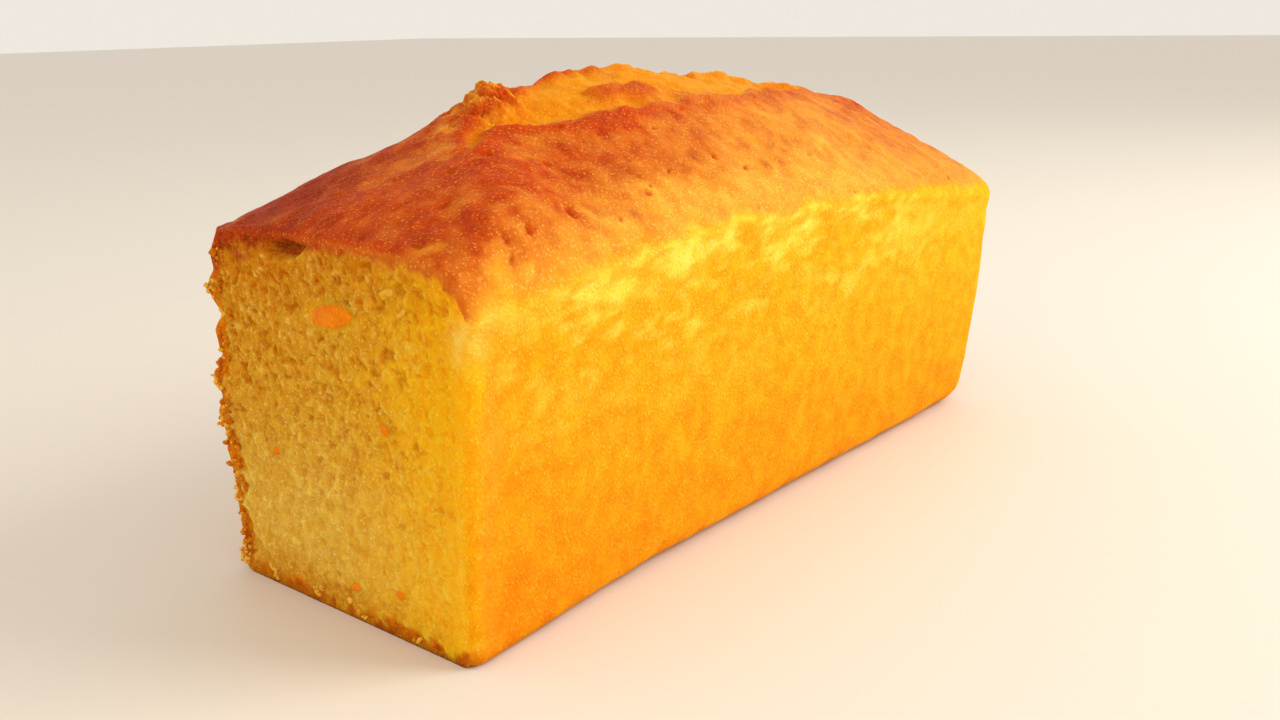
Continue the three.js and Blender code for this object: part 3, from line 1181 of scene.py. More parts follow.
@dataclass(frozen=True)
class CutLook:
    """How the cut face is coloured: shares of each tone, and where they change, in millimetres."""

    wobble: Lumps = Lumps(1, 2.6)
    ragged: Lumps = Lumps(0.7, 3.4, 2)
    far_strip: tuple[float, float] = (4.4, 2.2)
    far_strip_least: float = 0.6
    lump_reach: float = 1.6
    lump_least: float = 1.5
    base_strip: float = 2.6
    base_strip_least: float = 1.0
    crust_depth: tuple[float, float] = (2.6, 6.0)
    crust_across: Span = Span(0.45, 0.85)
    crust_fade: Span = Span(0.8, 1.5)
    crust_wobble: float = 0.8
    crust_toast: tuple[float, float] = (0.65, 0.9)
    crust_toast_across: Span = Span(-0.9, 0.3)
    # Painted shade: the crust strip along the cut's top is painted darker towards +Y, like the crust beside
    # it.
    crust_painted_shade: float = 0.7
    crust_painted_shade_y: Span = Span(-1, 17)
    crumb: Span = Span(0.35, 1.1)
    crumb_wobble: float = 0.4
    hollow: Span = Span(0.3, 0.7)
    hollow_toast: tuple[float, float] = (1.0, 0.6)
    hollow_toast_y: Span = Span(8, 17)
    uneven: Lumps = Lumps(1, 2.2, 2)
    far_brown: Span = Span(2, 8)
    far_brown_share: tuple[float, float] = (0.68, 0.6)
    far_brown_held: tuple[float, float] = (0.2, 1)
    base_brown: Span = Span(2, 4)
    base_brown_share: tuple[float, float] = (0.8, 0.3)
    base_brown_held: tuple[float, float] = (0.5, 1)
    rim_amber: float = 0.75
    rim_amber_from: Span = Span(3, 7)
    rim_amber_base: float = 1.6
    warm_roof: float = 0.52
    warm_roof_reach: Span = Span(2, 22)
    warm_far: float = 0.24
    warm_far_y: Span = Span(-8, 30)
    warm_foot: float = 0.25
    warm_foot_z: Span = Span(1, 11)
    # Painted shade in the pores: the crumb is painted darker orange where the pores sink.
    pore: float = 0.55
    small_pore: float = 0.4
    pore_wobble: float = 0.15
    pore_from_near: Span = Span(0, 5)
    # Painted highlights: raised flakes and lumps of the crumb are painted paler, as if lit on top.
    flake_painted_highlight: float = 0.7
    lump_painted_highlight: float = 0.45
    pale_lump: Span = Span(0.12, 0.4)
    pale_low: float = 0.45
    pale_low_z: Span = Span(12, 38)
    pale_foot_z: Span = Span(0, 11)
    pale_corner: float = 3.0
    # Painted glow: the crumb is painted brighter gold from the -Y border inwards, where light comes through
    # it from the lit side; it also spreads round the peel's bed.
    golden: tuple[float, float] = (42, 34)
    painted_glow_z: Span = Span(5, 40)
    painted_glow_wobble: float = 2.5
    painted_glow_pale_loss: float = 0.75
    painted_glow_pore_loss: float = 0.6
    peel_glow: float = 0.45


@dataclass(frozen=True)
class CutGrid:
    """Points of the cut face, their place across from -1 to 1, and their distances from its four borders."""

    points: Array
    across: Array
    near: Array
    far: Array
    base: Array
    roof: Array


@dataclass(frozen=True)
class CutMasks:
    """Shares of what the cut face shows at each point."""

    pore: Array
    small: Array
    flakes: Array
    lumps: Array
    hollow: Array
    peel: Array


@dataclass
class Loaf:
    """The whole loaf as one closed piece: skin round the sides and top, cut face, far end and base."""

    form: LoafForm = field(default_factory=LoafForm)
    noise: LumpNoise = field(default_factory=lambda: LumpNoise(LOAF_SEED))
    skin_relief: SkinRelief = SkinRelief()
    skin_look: SkinLook = SkinLook()
    cut_relief: CutRelief = CutRelief()
    cut_look: CutLook = CutLook()
    hollow: Hollow = Hollow()
    rows: int = 186
    crag_rows: float = 1.0
    crag_rows_spread: float = 17.0
    corner_rows: int = 9
    wall_steps: int = 86
    top_steps: int = 114
    cut_across: int = 190
    cut_up: int = 176
    end_across: int = 70
    end_up: int = 64
    cut_rows: tuple[float, ...] = (0.3, 0.7, 1.2, 1.8, 2.5)
    level_shares: tuple[float, float] = (0.55, 0.45)
    corner_turn: float = 0.47 * math.pi
    border_rounds: tuple[tuple[float, float], ...] = ((0.75, 2.2), (1.05, 1.0), (1.75, 0.5), (2, 0.4))
    border_steps: int = 601
    border_samples: int = 60
    station_samples: int = 400
    border_soft: int = 15
    border_soft_spread: float = 7.0
    tuck_reaches: tuple[float, float, float] = (5.0, 4.0, 5.0)
    tuck_foot: Span = Span(0, 6)
    fray_least: float = 0.3
    fray_lumps: Lumps = Lumps(0.35, 2.6)
    fray_line: tuple[float, float] = (31.0, 5.0)
    fray_foot: Span = Span(0.5, 4)
    left_marks: tuple[EdgeMark, ...] = (
        EdgeMark(62.0, -1.9, 4.0),
        EdgeMark(50.3, 1.9, 2.0),
        EdgeMark(45.8, -2.3, 1.4),
        EdgeMark(42.6, 0.6, 1.0),
        EdgeMark(38.6, -1.3, 0.9),
        EdgeMark(34.0, 2.6, 1.8),
        EdgeMark(27.5, 2.2, 2.2),
        EdgeMark(21.5, 0.8, 1.6),
        EdgeMark(7.6, -0.9, 1.6),
    )
    crag: Mound = Mound(-47.0, 4.0, 1.9, 6.5)
    skyline: tuple[Mound, ...] = (
        Mound(-51.0, 6.5, -0.9, 3.5),
        Mound(-33.5, 8.0, -0.6, 3.0),
        Mound(-16.0, 8.6, -0.6, 8.0),
        Mound(5.5, 10.0, 0.8, 3.0),
        Mound(20.3, 9.0, -1.0, 2.2),
        Mound(28.0, 8.4, -0.6, 5.0),
        Mound(47.0, 5.7, -1.4, 6.5),
        Mound(66.5, 0.9, -0.9, 3.0),
        Mound(79.0, -0.5, 1.5, 6.0),
    )
    flakes: tuple[Mound, ...] = (
        Mound(-58.0, 2.8, 0.7, 3.4),
        Mound(-64.8, -3.4, 0.6, 3.0),
        Mound(-50.0, 2.6, 0.5, 4.0),
    )
    pits: tuple[Mound, ...] = (
        Mound(-62.4, -27.1, 1.0, 1.2),
        Mound(-75.4, -29.1, 0.9, 1.0),
        Mound(-80.8, -29.6, 0.8, 0.9),
        Mound(-80.0, -16.2, 0.9, 1.1),
        Mound(-81.4, -25.2, 0.6, 0.8),
        Mound(-53.7, -14.5, 0.6, 0.7),
        Mound(-41.4, -26.7, 0.7, 0.9),
        Mound(-63.0, -10.0, 0.9, 1.2),
        Mound(-16.6, -23.0, 0.7, 0.8),
        Mound(-10.4, -25.7, 0.6, 0.7),
    )
    pale_patches: tuple[Mound, ...] = (
        Mound(-96.5, 50.0, 0.9, 4.2),
        Mound(-66.0, 54.0, 0.9, 3.6),
        Mound(-56.0, 55.2, 0.6, 4.0),
        Mound(-39.0, 56.0, 0.9, 4.0),
        Mound(-30.0, 57.0, 0.7, 3.0),
        Mound(-12.0, 56.8, 0.9, 3.0),
        Mound(0.0, 56.6, 0.9, 2.6),
        Mound(12.0, 56.2, 0.9, 2.6),
        Mound(22.0, 55.7, 0.9, 2.6),
    )
    small_pits: PitField = PitField(9.0, 0.9, 0.45, 11)
    small_pits_lean: float = 0.5
    pit_height_weight: float = 0.01

    def levels(self, count: int) -> Array:
        """Shares of the height, closer together at the base and at the crust.

        Args:
            count: Number of steps.

        Returns:
            The shares from 0 to 1, one more than the steps.
        """
        t = np.linspace(0, 1, count + 1)
        even, eased = self.level_shares
        return even * t + eased * (1 - np.cos(np.pi * t)) / 2

    @staticmethod
    def round_loaf(levels: Array, across: int) -> Array:
        """How far round the loaf a border's points lie: 1 up the -Y side, 2 over the top, 3 at the base."""
        return np.concatenate([levels[:-1], np.linspace(1, 2, across + 1), 3 - levels[-2::-1]])

    def fray(self, z: Array) -> Array:
        """How far crumbs are torn off the cut's +Y border at height z: noise, less the lumps and notches.

        Args:
            z: Height above the base.

        Returns:
            One depth for each height.
        """
        line = np.stack(np.broadcast_arrays(self.fray_line[0], z, self.fray_line[1]), -1)
        torn = self.fray_least + self.fray_lumps.at(self.noise, line)
        torn = torn - sum(m.out * bell(z - m.z, m.spread) for m in self.left_marks)
        return torn * self.fray_foot.rise(z)

    def border_y(self, z: float) -> float:
        """Place across of the cut's torn +Y border at height z.

        Args:
            z: Height above the base.

        Returns:
            The place along Y.
        """
        one = np.ones((1, 1))
        up = np.linspace(0, 1, self.border_samples)[None]
        wall = self.form.skin(0 * one, 0 * one, one, up, self.noise).points[0]
        return float(np.interp(z, wall[:, 2], wall[:, 1]) - self.fray(np.full((), z)))

    def stations(self) -> Array:
        """Shares of the length from the rows at the cut to the far corners, closest together at the crag.

        Returns:
            The shares in order.
        """
        form = self.form
        behind = np.linspace(self.cut_rows[-1], form.length - form.corner_radius, self.station_samples)
        at_crag = bell(form.cut_x + behind - self.crag.x, self.crag_rows_spread)
        count = np.cumsum(1 + self.crag_rows * at_crag)
        return np.interp(np.linspace(count[0], count[-1], self.rows), count, behind / form.length)[1:]

    def tuck(self, s: Array) -> tuple[Array, Array]:
        """Rounding of the cut's border: largest up the -Y side, less over the top, and least on the +Y side.

        Args:
            s: How far round the loaf, as round_loaf gives it.

        Returns:
            The radius, and the inward direction across and up, smoothed along the border.
        """
        radius = np.interp(s, *zip(*self.border_rounds))
        fine = np.linspace(0, 3, self.border_steps)
        b = np.clip(2 * fine - 3, -1, 1)
        h = np.clip(np.minimum(fine, 3 - fine), 0, 1)
        zero = np.zeros((1, 1))
        line = np.gradient(self.form.skin(zero, zero, b[None], h[None], self.noise).points[0, :, 1:], axis=0)
        soft = self.border_soft
        padded = np.pad(np.stack([line[:, 1], -line[:, 0]]), ((0, 0), (soft, soft)), mode="edge")
        weights = bell(np.arange(-soft, soft + 1), self.border_soft_spread)
        inward = np.stack([np.convolve(row, weights, "valid") for row in padded])
        inward = inward / np.linalg.norm(inward, axis=0)
        return radius, np.stack([np.interp(s, fine, row) for row in inward], -1)

    def skin_tones(self, skin: SkinPoints) -> tuple[Array, Array]:
        """Zones and tones of the sides and the crust.

        Args:
            skin: The points with their masks.

        Returns:
            The two sets of colour masks.
        """
        look = self.skin_look
        points = skin.points
        x, y, z = np.moveaxis(points, -1, 0)
        wobble = look.wobble.at(self.noise, points)
        behind = np.where(y < 0, np.maximum(x - self.form.cut_at(y), 0), np.inf)
        top = self.crust_mask(skin, wobble, behind)
        bared = look.bared.fall(behind + look.bared_wobble * wobble) * (1 - top) * look.bared_foot.rise(z)
        mottled = look.coarse_mottle.at(self.noise, points)
        mottled = mottled + look.fine_mottle.at(self.noise, points + look.fine_shift)
        base_toast = look.base_toast * look.base_z.fall(z + look.base_wobble * wobble)
        toast = mix(base_toast, self.crust_toast(skin, wobble, mottled), top)
        # Painted shade on the crust's +Y slope near the cut, with random dark mottle; on the crust it rides
        # in the amber tone.
        shade_and_mottle = look.shade_and_mottle * look.painted_shade_y.rise(y + look.painted_shade_wobble * wobble) * look.painted_shade_x.fall(x)
        shade_and_mottle = shade_and_mottle + look.dark_mottle * mottled
        amber = mix(self.amber(points) * (1 - look.bared_amber * bared), shade_and_mottle, top)
        pale = self.side_pale(skin, wobble, bared) * (1 - look.crust_pale_loss * top)
        # Zone two: the split's floor on the crust, and a painted glow on the crumb bared next to the cut.
        zones = np.stack([top, np.maximum(skin.floor * top, bared), bared], -1)
        return zones, np.stack([toast, pale, amber], -1)

    def crust_mask(self, skin: SkinPoints, wobble: Array, behind: Array) -> Array:
        """Share of crust: a fade round its edge, which draws back up the dome next to the cut.

        Args:
            skin: The points with their masks.
            wobble: Noise that moves the edge.
            behind: Distance behind the cut.

        Returns:
            One share for each point.
        """
        look = self.skin_look
        x, _, z = np.moveaxis(skin.points, -1, 0)
        level = skin.top * mix(*look.edge_level, look.edge_level_x.rise(x))
        fade = np.interp(x, *zip(*look.edge_fade))
        top = smoothstep((z - level + look.edge_wobble * wobble) / fade, -1, 1)
        kept = look.drawn_slope.rise(skin.slope + look.drawn_wobble * wobble)
        return top * mix(1, kept, np.exp(-behind / look.drawn_back))

    def crust_toast(self, skin: SkinPoints, wobble: Array, mottled: Array) -> Array:
        """Share of dark crust: most up the dome and near the cut, in pits and on lips, least on torn flakes.

        Args:
            skin: The points with their masks.
            wobble: Noise that moves the borders.
            mottled: Noise that is added where the crust is dark.

        Returns:
            One share for each point.
        """
        look = self.skin_look
        points = skin.points
        x, y, _ = np.moveaxis(points, -1, 0)
        from_cut = look.slope_x.rise(x)
        climb = (skin.slope + look.slope_wobble * wobble) / mix(*look.slope_reach, from_cut)
        inner = smoothstep(climb, mix(*look.slope_start, from_cut), 1)
        pitted = look.pit.rise(self.pit_depth(points))
        crag = bell(np.hypot(x - self.crag.x, y - self.crag.y), self.crag.spread)
        torn = look.torn_edge.rise(look.torn.at(self.noise, points))
        flaky = np.maximum(self.flaky(x, y), look.crag_flakes * crag) * torn
        toast = inner * mix(*look.toast, look.toast_x.rise(x))
        toast = toast + look.lip_toast * skin.lip + look.pit_toast * pitted
        toast = toast + mottled * look.mottled.rise(inner)
        toast = toast - look.flake_light * flaky - look.crag_light * crag
        toast = toast + look.end_toast * look.end_x.rise(x)
        return toast + look.bump_toast * sum(m.at(x, y) for m in self.skyline if m.height > 0)

    def side_pale(self, skin: SkinPoints, wobble: Array, bared: Array) -> Array:
        """Share of paler side: clusters in a band under the crust, patches where they lie, and a painted
        brightening of the shaded arris.

        Args:
            skin: The points with their masks.
            wobble: Noise that moves the patches.
            bared: Share of crumb bared next to the cut.

        Returns:
            One share for each point.
        """
        look = self.skin_look
        points = skin.points
        x, y, z = np.moveaxis(points, -1, 0)
        fine = look.cluster_fine.at(self.noise, points * (look.cluster_fine_stretch, 1, 1))
        coarse = look.cluster_coarse.at(self.noise, points * (look.cluster_coarse_stretch, 1, 1))
        clusters = look.clusters.rise(fine + coarse)
        band = look.band_level.rise(z / skin.top) * (1 - look.band_end_loss * look.band_end.rise(x))
        band = band * mix(look.band_cut_share, 1, look.band_cut.rise(x))
        moved_x = x + look.patch_wobble[0] * wobble
        moved_z = z + look.patch_wobble[1] * wobble
        patches = sum(m.at(mix(moved_x, m.x, look.patch_squeeze), moved_z) for m in self.pale_patches)
        patches = patches * np.where(y < 0, 1, look.far_patches)
        patches = patches * (look.patch_share[0] + look.patch_share[1] * clusters)
        return np.clip(look.band * band * clusters + patches + look.bared_painted_light * bared * (1 - bared), 0, 1)

    def amber(self, points: Array) -> Array:
        """Share of the darker gold low on the sides and next to the cut, less along the arris, where the
        shaded rounding is painted brighter.

        Args:
            points: Points of the skin or of the cut.

        Returns:
            One share for each point.
        """
        look = self.skin_look
        x, y, z = np.moveaxis(points, -1, 0)
        low = look.amber_z.fall(z + look.amber_lumps.at(self.noise, points))
        behind = np.maximum(x - self.form.cut_at(y), 0)
        near_cut = look.amber_at_cut * np.exp(-behind / look.amber_reach) * look.amber_at_cut_z.fall(z)
        return (look.amber * low + near_cut) * (1 - look.arris_painted_light * np.exp(-behind / look.arris_painted_light_reach))

    def flaky(self, x: Array, y: Array) -> Array:
        """Share of torn, paler flakes on the crust round the crag."""
        return np.clip(sum(m.at(x, y) for m in self.flakes), 0, 1)

    def pit_depth(self, points: Array) -> Array:
        """Depth of the crust's pits in millimetres: the larger ones where they lie, small ones scattered.

        Args:
            points: Points of the skin.

        Returns:
            One depth for each point.
        """
        x, y, z = np.moveaxis(points, -1, 0)
        depth = self.skin_relief.small_pit * self.small_pits.depth(x, y + self.small_pits_lean * z)
        for pit in self.pits:
            away = np.hypot(x - pit.x, y - pit.y) - self.pit_height_weight * z
            heart = points.reshape(-1, 3)[np.argmin(away)]
            depth = depth + pit.height * bell(np.linalg.norm(points - heart, axis=-1), pit.spread)
        return depth

    def skin_patch(self) -> Patch:
        """Sides and crust: rows along the loaf, columns from the -Y base edge up, over and down again.

        Returns:
            The patch.
        """
        form = self.form
        straight = 1 - form.corner_radius / form.length
        angle = np.linspace(0, self.corner_turn, self.corner_rows + 1)[1:]
        body = np.append(np.array(self.cut_rows) / form.length, self.stations())
        along = np.append(body, mix(straight, 1, np.sin(angle)))
        inset = np.append(np.zeros(len(body)), form.corner_radius * (1 - np.cos(angle)))
        up = self.levels(self.wall_steps)
        over = np.linspace(-1, 1, self.top_steps + 1)
        b = np.concatenate([np.full(self.wall_steps, -1.0), over, np.full(self.wall_steps, 1.0)])
        h = np.concatenate([up[:-1], np.ones(len(over)), up[-2::-1]])
        skin = form.skin(along[:, None], inset[:, None], b[None], h[None], self.noise)
        zones, tones = self.skin_tones(skin)
        patch = Patch(skin.points, zones, tones)
        x, y, z = np.moveaxis(skin.points, -1, 0)
        top, floor = zones[..., 0], zones[..., 1]
        relief = self.skin_relief
        fine = relief.crust.at(self.noise, skin.points)
        rough = np.clip(floor + relief.lip_rough * skin.lip, 0, 1)
        crumbly = mix(*relief.torn_height, floor) * relief.torn.at(self.noise, skin.points)
        jagged = relief.crag_lift - np.abs(relief.crag_ridges.at(self.noise, skin.points))
        jagged = jagged + relief.crag_bits.at(self.noise, skin.points)
        crag = self.crag.at(x, y) * jagged + self.flaky(x, y) * relief.flakes.at(self.noise, skin.points)
        side = relief.side.at(self.noise, skin.points)
        behind = x - form.cut_at(y)
        radius, inward = self.tuck(self.round_loaf(up, self.top_steps))
        lost = (quarter_round(1, 1 - behind / radius) * radius)[..., None] * inward
        inside = (b - 1) * form.side_half_width
        lost[..., 0] -= self.fray(z) * np.exp(inside / relief.fray_round - behind / relief.fray_along)
        crust = mix(fine, crumbly, rough) + crag - self.pit_depth(skin.points) * (1 - floor)
        crust = crust + sum(m.at(x, y) for m in self.skyline)
        swell = mix(side, crust, top) + relief.crust_share * fine
        patch.swell(swell * relief.base_fade.rise(z) * relief.cut_fade.rise(behind))
        patch.points[..., 1:] += lost
        patch.points[..., 2] = np.maximum(patch.points[..., 2], 0)
        patch.points[:, [0, -1], 2] = 0
        return patch

    def end_patch(self) -> Patch:
        """The far end: rows across, columns up.

        Returns:
            The patch.
        """
        b = np.linspace(-1, 1, self.end_across + 1)[:, None]
        h = self.levels(self.end_up)[None]
        inset = np.full((1, 1), self.form.corner_radius)
        skin = self.form.skin(np.ones((1, 1)), inset, b, h, self.noise)
        patch = Patch(skin.points, *self.skin_tones(skin))
        relief = self.skin_relief
        patch.swell(relief.side.at(self.noise, skin.points) * relief.base_fade.rise(skin.points[..., 2]))
        return patch

    def cut_grid(self) -> CutGrid:
        """The cut face before its relief: rows up, columns across, with a rounded and frayed border.

        Returns:
            The points with their distances from the borders.
        """
        form = self.form
        h = np.linspace(0, 1, self.cut_up + 1)[:, None]
        b = np.linspace(-1, 1, self.cut_across + 1)[None]
        zero = np.zeros((1, 1))
        skin = form.skin(zero, zero, b, h, self.noise)
        _, y, base = np.moveaxis(skin.points, -1, 0)
        half = form.half_width(h, base, zero)
        near, far, roof = (1 + b) * half, (1 - b) * half, (1 - h) * skin.top
        up, across = h[:, 0], (3 + b[0]) / 2
        pushes = [radius[:, None] * inward for radius, inward in map(self.tuck, (up, 3 - up, across))]
        borders = zip((near, far, roof), self.tuck_reaches)
        shares = [np.exp(-away / reach)[..., None] for away, reach in borders]
        push = pushes[2] * shares[2]
        for side, corner in ((0, 0), (1, -1)):
            push = push + shares[side] * (pushes[side][:, None] - shares[2] * pushes[2][corner])
        y = y + push[..., 0] - self.fray(base) * shares[1][..., 0]
        z = base + push[..., 1] * self.tuck_foot.rise(base)
        return CutGrid(np.stack([form.cut_at(y), y, z], -1), b, near, far, base, roof)

    def cut_masks(self, grid: CutGrid) -> CutMasks:
        """Pores, flakes, lumps, hollow and the bed of the peel at the points of the cut face.

        Args:
            grid: The cut face before its relief.

        Returns:
            One share of each kind for each point.
        """
        relief = self.cut_relief
        points = grid.points
        _, y, z = np.moveaxis(points, -1, 0)
        warped_y = y + relief.warp.at(self.noise, points)
        warped_z = z + relief.warp.at(self.noise, points + relief.warp_shift)
        openness = mix(relief.open_least, 1, relief.open_z.rise(z))
        pore = relief.pore_wall.rise(relief.pores.depth(warped_y / relief.pore_stretch, warped_z)) * openness
        small = relief.pore_wall.rise(relief.small_pores.depth(warped_y / relief.small_stretch, warped_z))
        small = small * mix(relief.small_least, 1, openness)
        flakes = relief.flake_wall.rise(relief.flakes.depth(warped_y + relief.flake_shift, warped_z))
        lumps = relief.coarse.at(self.noise, points) + relief.fine.at(self.noise, points)
        hollow = self.hollow.share(y, grid.roof, relief.hollow_torn.at(self.noise, points))
        away = np.stack([np.hypot((y - p.y) / p.half_width, (z - p.z) / p.half_height) for p in PEEL_SPOTS])
        return CutMasks(pore, small, flakes, lumps, hollow, np.max(relief.peel_bed.fall(away), 0))

    def cut_patch(self) -> Patch:
        """The cut face: rows up, columns across, with pores, lumps, the hollow and a browned rim.

        Returns:
            The patch.
        """
        relief = self.cut_relief
        grid = self.cut_grid()
        masks = self.cut_masks(grid)
        out = masks.lumps + relief.flake_height * masks.flakes
        out = out - relief.pore_depth * masks.pore - relief.small_depth * masks.small
        border = np.minimum(np.minimum(grid.near, grid.far), np.minimum(grid.base, grid.roof))
        out = out * relief.border_fade.rise(border) * relief.near_fade.rise(grid.near) * (1 - masks.peel)
        out = out - self.hollow.depth * masks.hollow * relief.roof_fade.rise(grid.roof)
        angle = self.form.cut_angle
        points = grid.points + out[..., None] * np.array([-math.cos(angle), math.sin(angle), 0])
        return Patch(points, *self.cut_tones(grid, masks, points))

    def cut_rim(self, grid: CutGrid, points: Array, crust_depth: Array) -> Array:
        """Distance from the nearest browned border of the cut, as a share of that border's ragged strip.

        Args:
            grid: The cut face before its relief.
            points: Its points with their relief.
            crust_depth: Depth of the crust along the top.

        Returns:
            One share for each point.
        """
        look = self.cut_look
        z = grid.points[..., 2]
        lumps = [m for m in self.left_marks if m.out > look.lump_least]
        lumpy = np.clip(sum(bell(z - m.z, look.lump_reach * m.spread) for m in lumps), 0, 1)
        ragged = 1 + look.ragged.at(self.noise, points)
        far = grid.far / np.maximum(mix(*look.far_strip, lumpy) * ragged, look.far_strip_least)
        base = grid.base / np.maximum(look.base_strip * ragged, look.base_strip_least)
        return np.minimum(np.minimum(far, base), grid.roof / crust_depth)

    def cut_brown(self, grid: CutGrid, points: Array) -> Array:
        """Share of browning along the cut's +Y border and its base, uneven by noise.

        Args:
            grid: The cut face before its relief.
            points: Its points with their relief.

        Returns:
            One share for each point.
        """
        look = self.cut_look
        uneven = look.uneven.at(self.noise, points)
        far = np.clip(look.far_brown_share[0] + look.far_brown_share[1] * uneven, *look.far_brown_held)
        base = np.clip(look.base_brown_share[0] + look.base_brown_share[1] * uneven, *look.base_brown_held)
        return np.maximum(look.far_brown.fall(grid.far) * far, look.base_brown.fall(grid.base) * base)

    def cut_tones(self, grid: CutGrid, masks: CutMasks, points: Array) -> tuple[Array, Array]:
        """Zones and tones of the cut face.

        Args:
            grid: The cut face before its relief.
            masks: What it shows at each point.
            points: Its points with their relief.

        Returns:
            The two sets of colour masks.
        """
        look = self.cut_look
        _, y, z = np.moveaxis(grid.points, -1, 0)
        wobble = look.wobble.at(self.noise, points)
        crust_depth = mix(*look.crust_depth, look.crust_across.rise(grid.across))
        dark = look.hollow.rise(masks.hollow)
        rim = self.cut_rim(grid, points, crust_depth)
        crumb = look.crumb.rise(rim + look.crumb_wobble * wobble) * (1 - dark)
        top = look.crust_fade.fall((grid.roof + look.crust_wobble * wobble) / crust_depth)
        crust_toast = mix(*look.crust_toast, look.crust_toast_across.rise(grid.across))
        toast = mix(self.cut_brown(grid, points), crust_toast, top)
        toast = mix(toast, mix(*look.hollow_toast, look.hollow_toast_y.rise(y)), dark)

        rim_amber = look.rim_amber_from.fall(np.minimum(grid.far, look.rim_amber_base * grid.base))
        amber = np.maximum(self.amber(points), look.rim_amber * rim_amber)
        # Painted shade on the crust strip towards +Y.
        amber = np.maximum(amber, look.crust_painted_shade * top * look.crust_painted_shade_y.rise(y))
        warm = look.warm_roof * look.warm_roof_reach.fall(grid.roof)
        warm = warm + look.warm_far * look.warm_far_y.rise(y) + look.warm_foot * look.warm_foot_z.fall(z)
        # Depth tone: painted shade in the pores, with random and warmer tones added.
        depth = look.pore * masks.pore + look.small_pore * masks.small + look.pore_wobble * wobble + warm
        depth = np.clip(depth, 0, 1) * look.pore_from_near.rise(grid.near)

        # Painted glow of light through the crumb from the -Y border, also round the peel's bed; less paleness
        # and less pore shade under it.
        painted_glow_reach = mix(*look.golden, look.painted_glow_z.rise(z))
        golden = 1 - smoothstep(grid.near + look.painted_glow_wobble * wobble, 0, painted_glow_reach)
        # Paleness: painted highlights on raised flakes and lumps, and paler crumb low down.
        pale = look.flake_painted_highlight * masks.flakes + look.lump_painted_highlight * look.pale_lump.rise(masks.lumps)
        pale = pale + look.pale_low * look.pale_low_z.fall(z) * look.pale_foot_z.rise(z)
        pale = np.clip(pale, 0, 1) * crumb * (1 - look.painted_glow_pale_loss * golden)
        patch = self.pale_patches[0]
        pale = np.maximum(pale, patch.height * bell(np.hypot(grid.near, z - patch.y), look.pale_corner))
        golden = np.maximum(golden, look.peel_glow * masks.peel)
        depth = mix(amber, depth * (1 - look.painted_glow_pore_loss * golden), crumb)
        zones = np.stack([np.maximum(top, dark), golden * crumb, crumb], -1)
        return zones, np.stack([toast, pale, depth], -1)

    def build(self, shift: Array, material: bpy.types.Material) -> bpy.types.Object:
        """Joins the patches into the closed piece.

        Args:
            shift: Move of all points, in millimetres.
            material: The loaf's material.

        Returns:
            The piece.
        """
        shell = Shell()
        skin = shell.add_grid(self.skin_patch())
        cut = shell.add_grid(self.cut_patch())
        end = shell.add_grid(self.end_patch())
        cut_border = np.concatenate([cut[:-1, 0], cut[-1, :-1], cut[::-1, -1]])
        end_border = np.concatenate([end[0, :-1], end[:-1, -1], end[-1, ::-1]])
        skin_at = self.round_loaf(self.levels(self.wall_steps), self.top_steps)
        cut_at = self.round_loaf(np.linspace(0, 1, self.cut_up + 1), self.cut_across)
        end_at = self.round_loaf(self.levels(self.end_up), self.end_across)
        shell.zip_rows(cut_border, skin[0], cut_at, skin_at)
        shell.zip_rows(skin[-1], end_border, skin_at, end_at)
        shell.close_flat(np.concatenate([skin[:, 0], end[:, 0], skin[::-1, -1], cut[0, ::-1]]))
        return shell.build("loaf_dressed", shift, material)


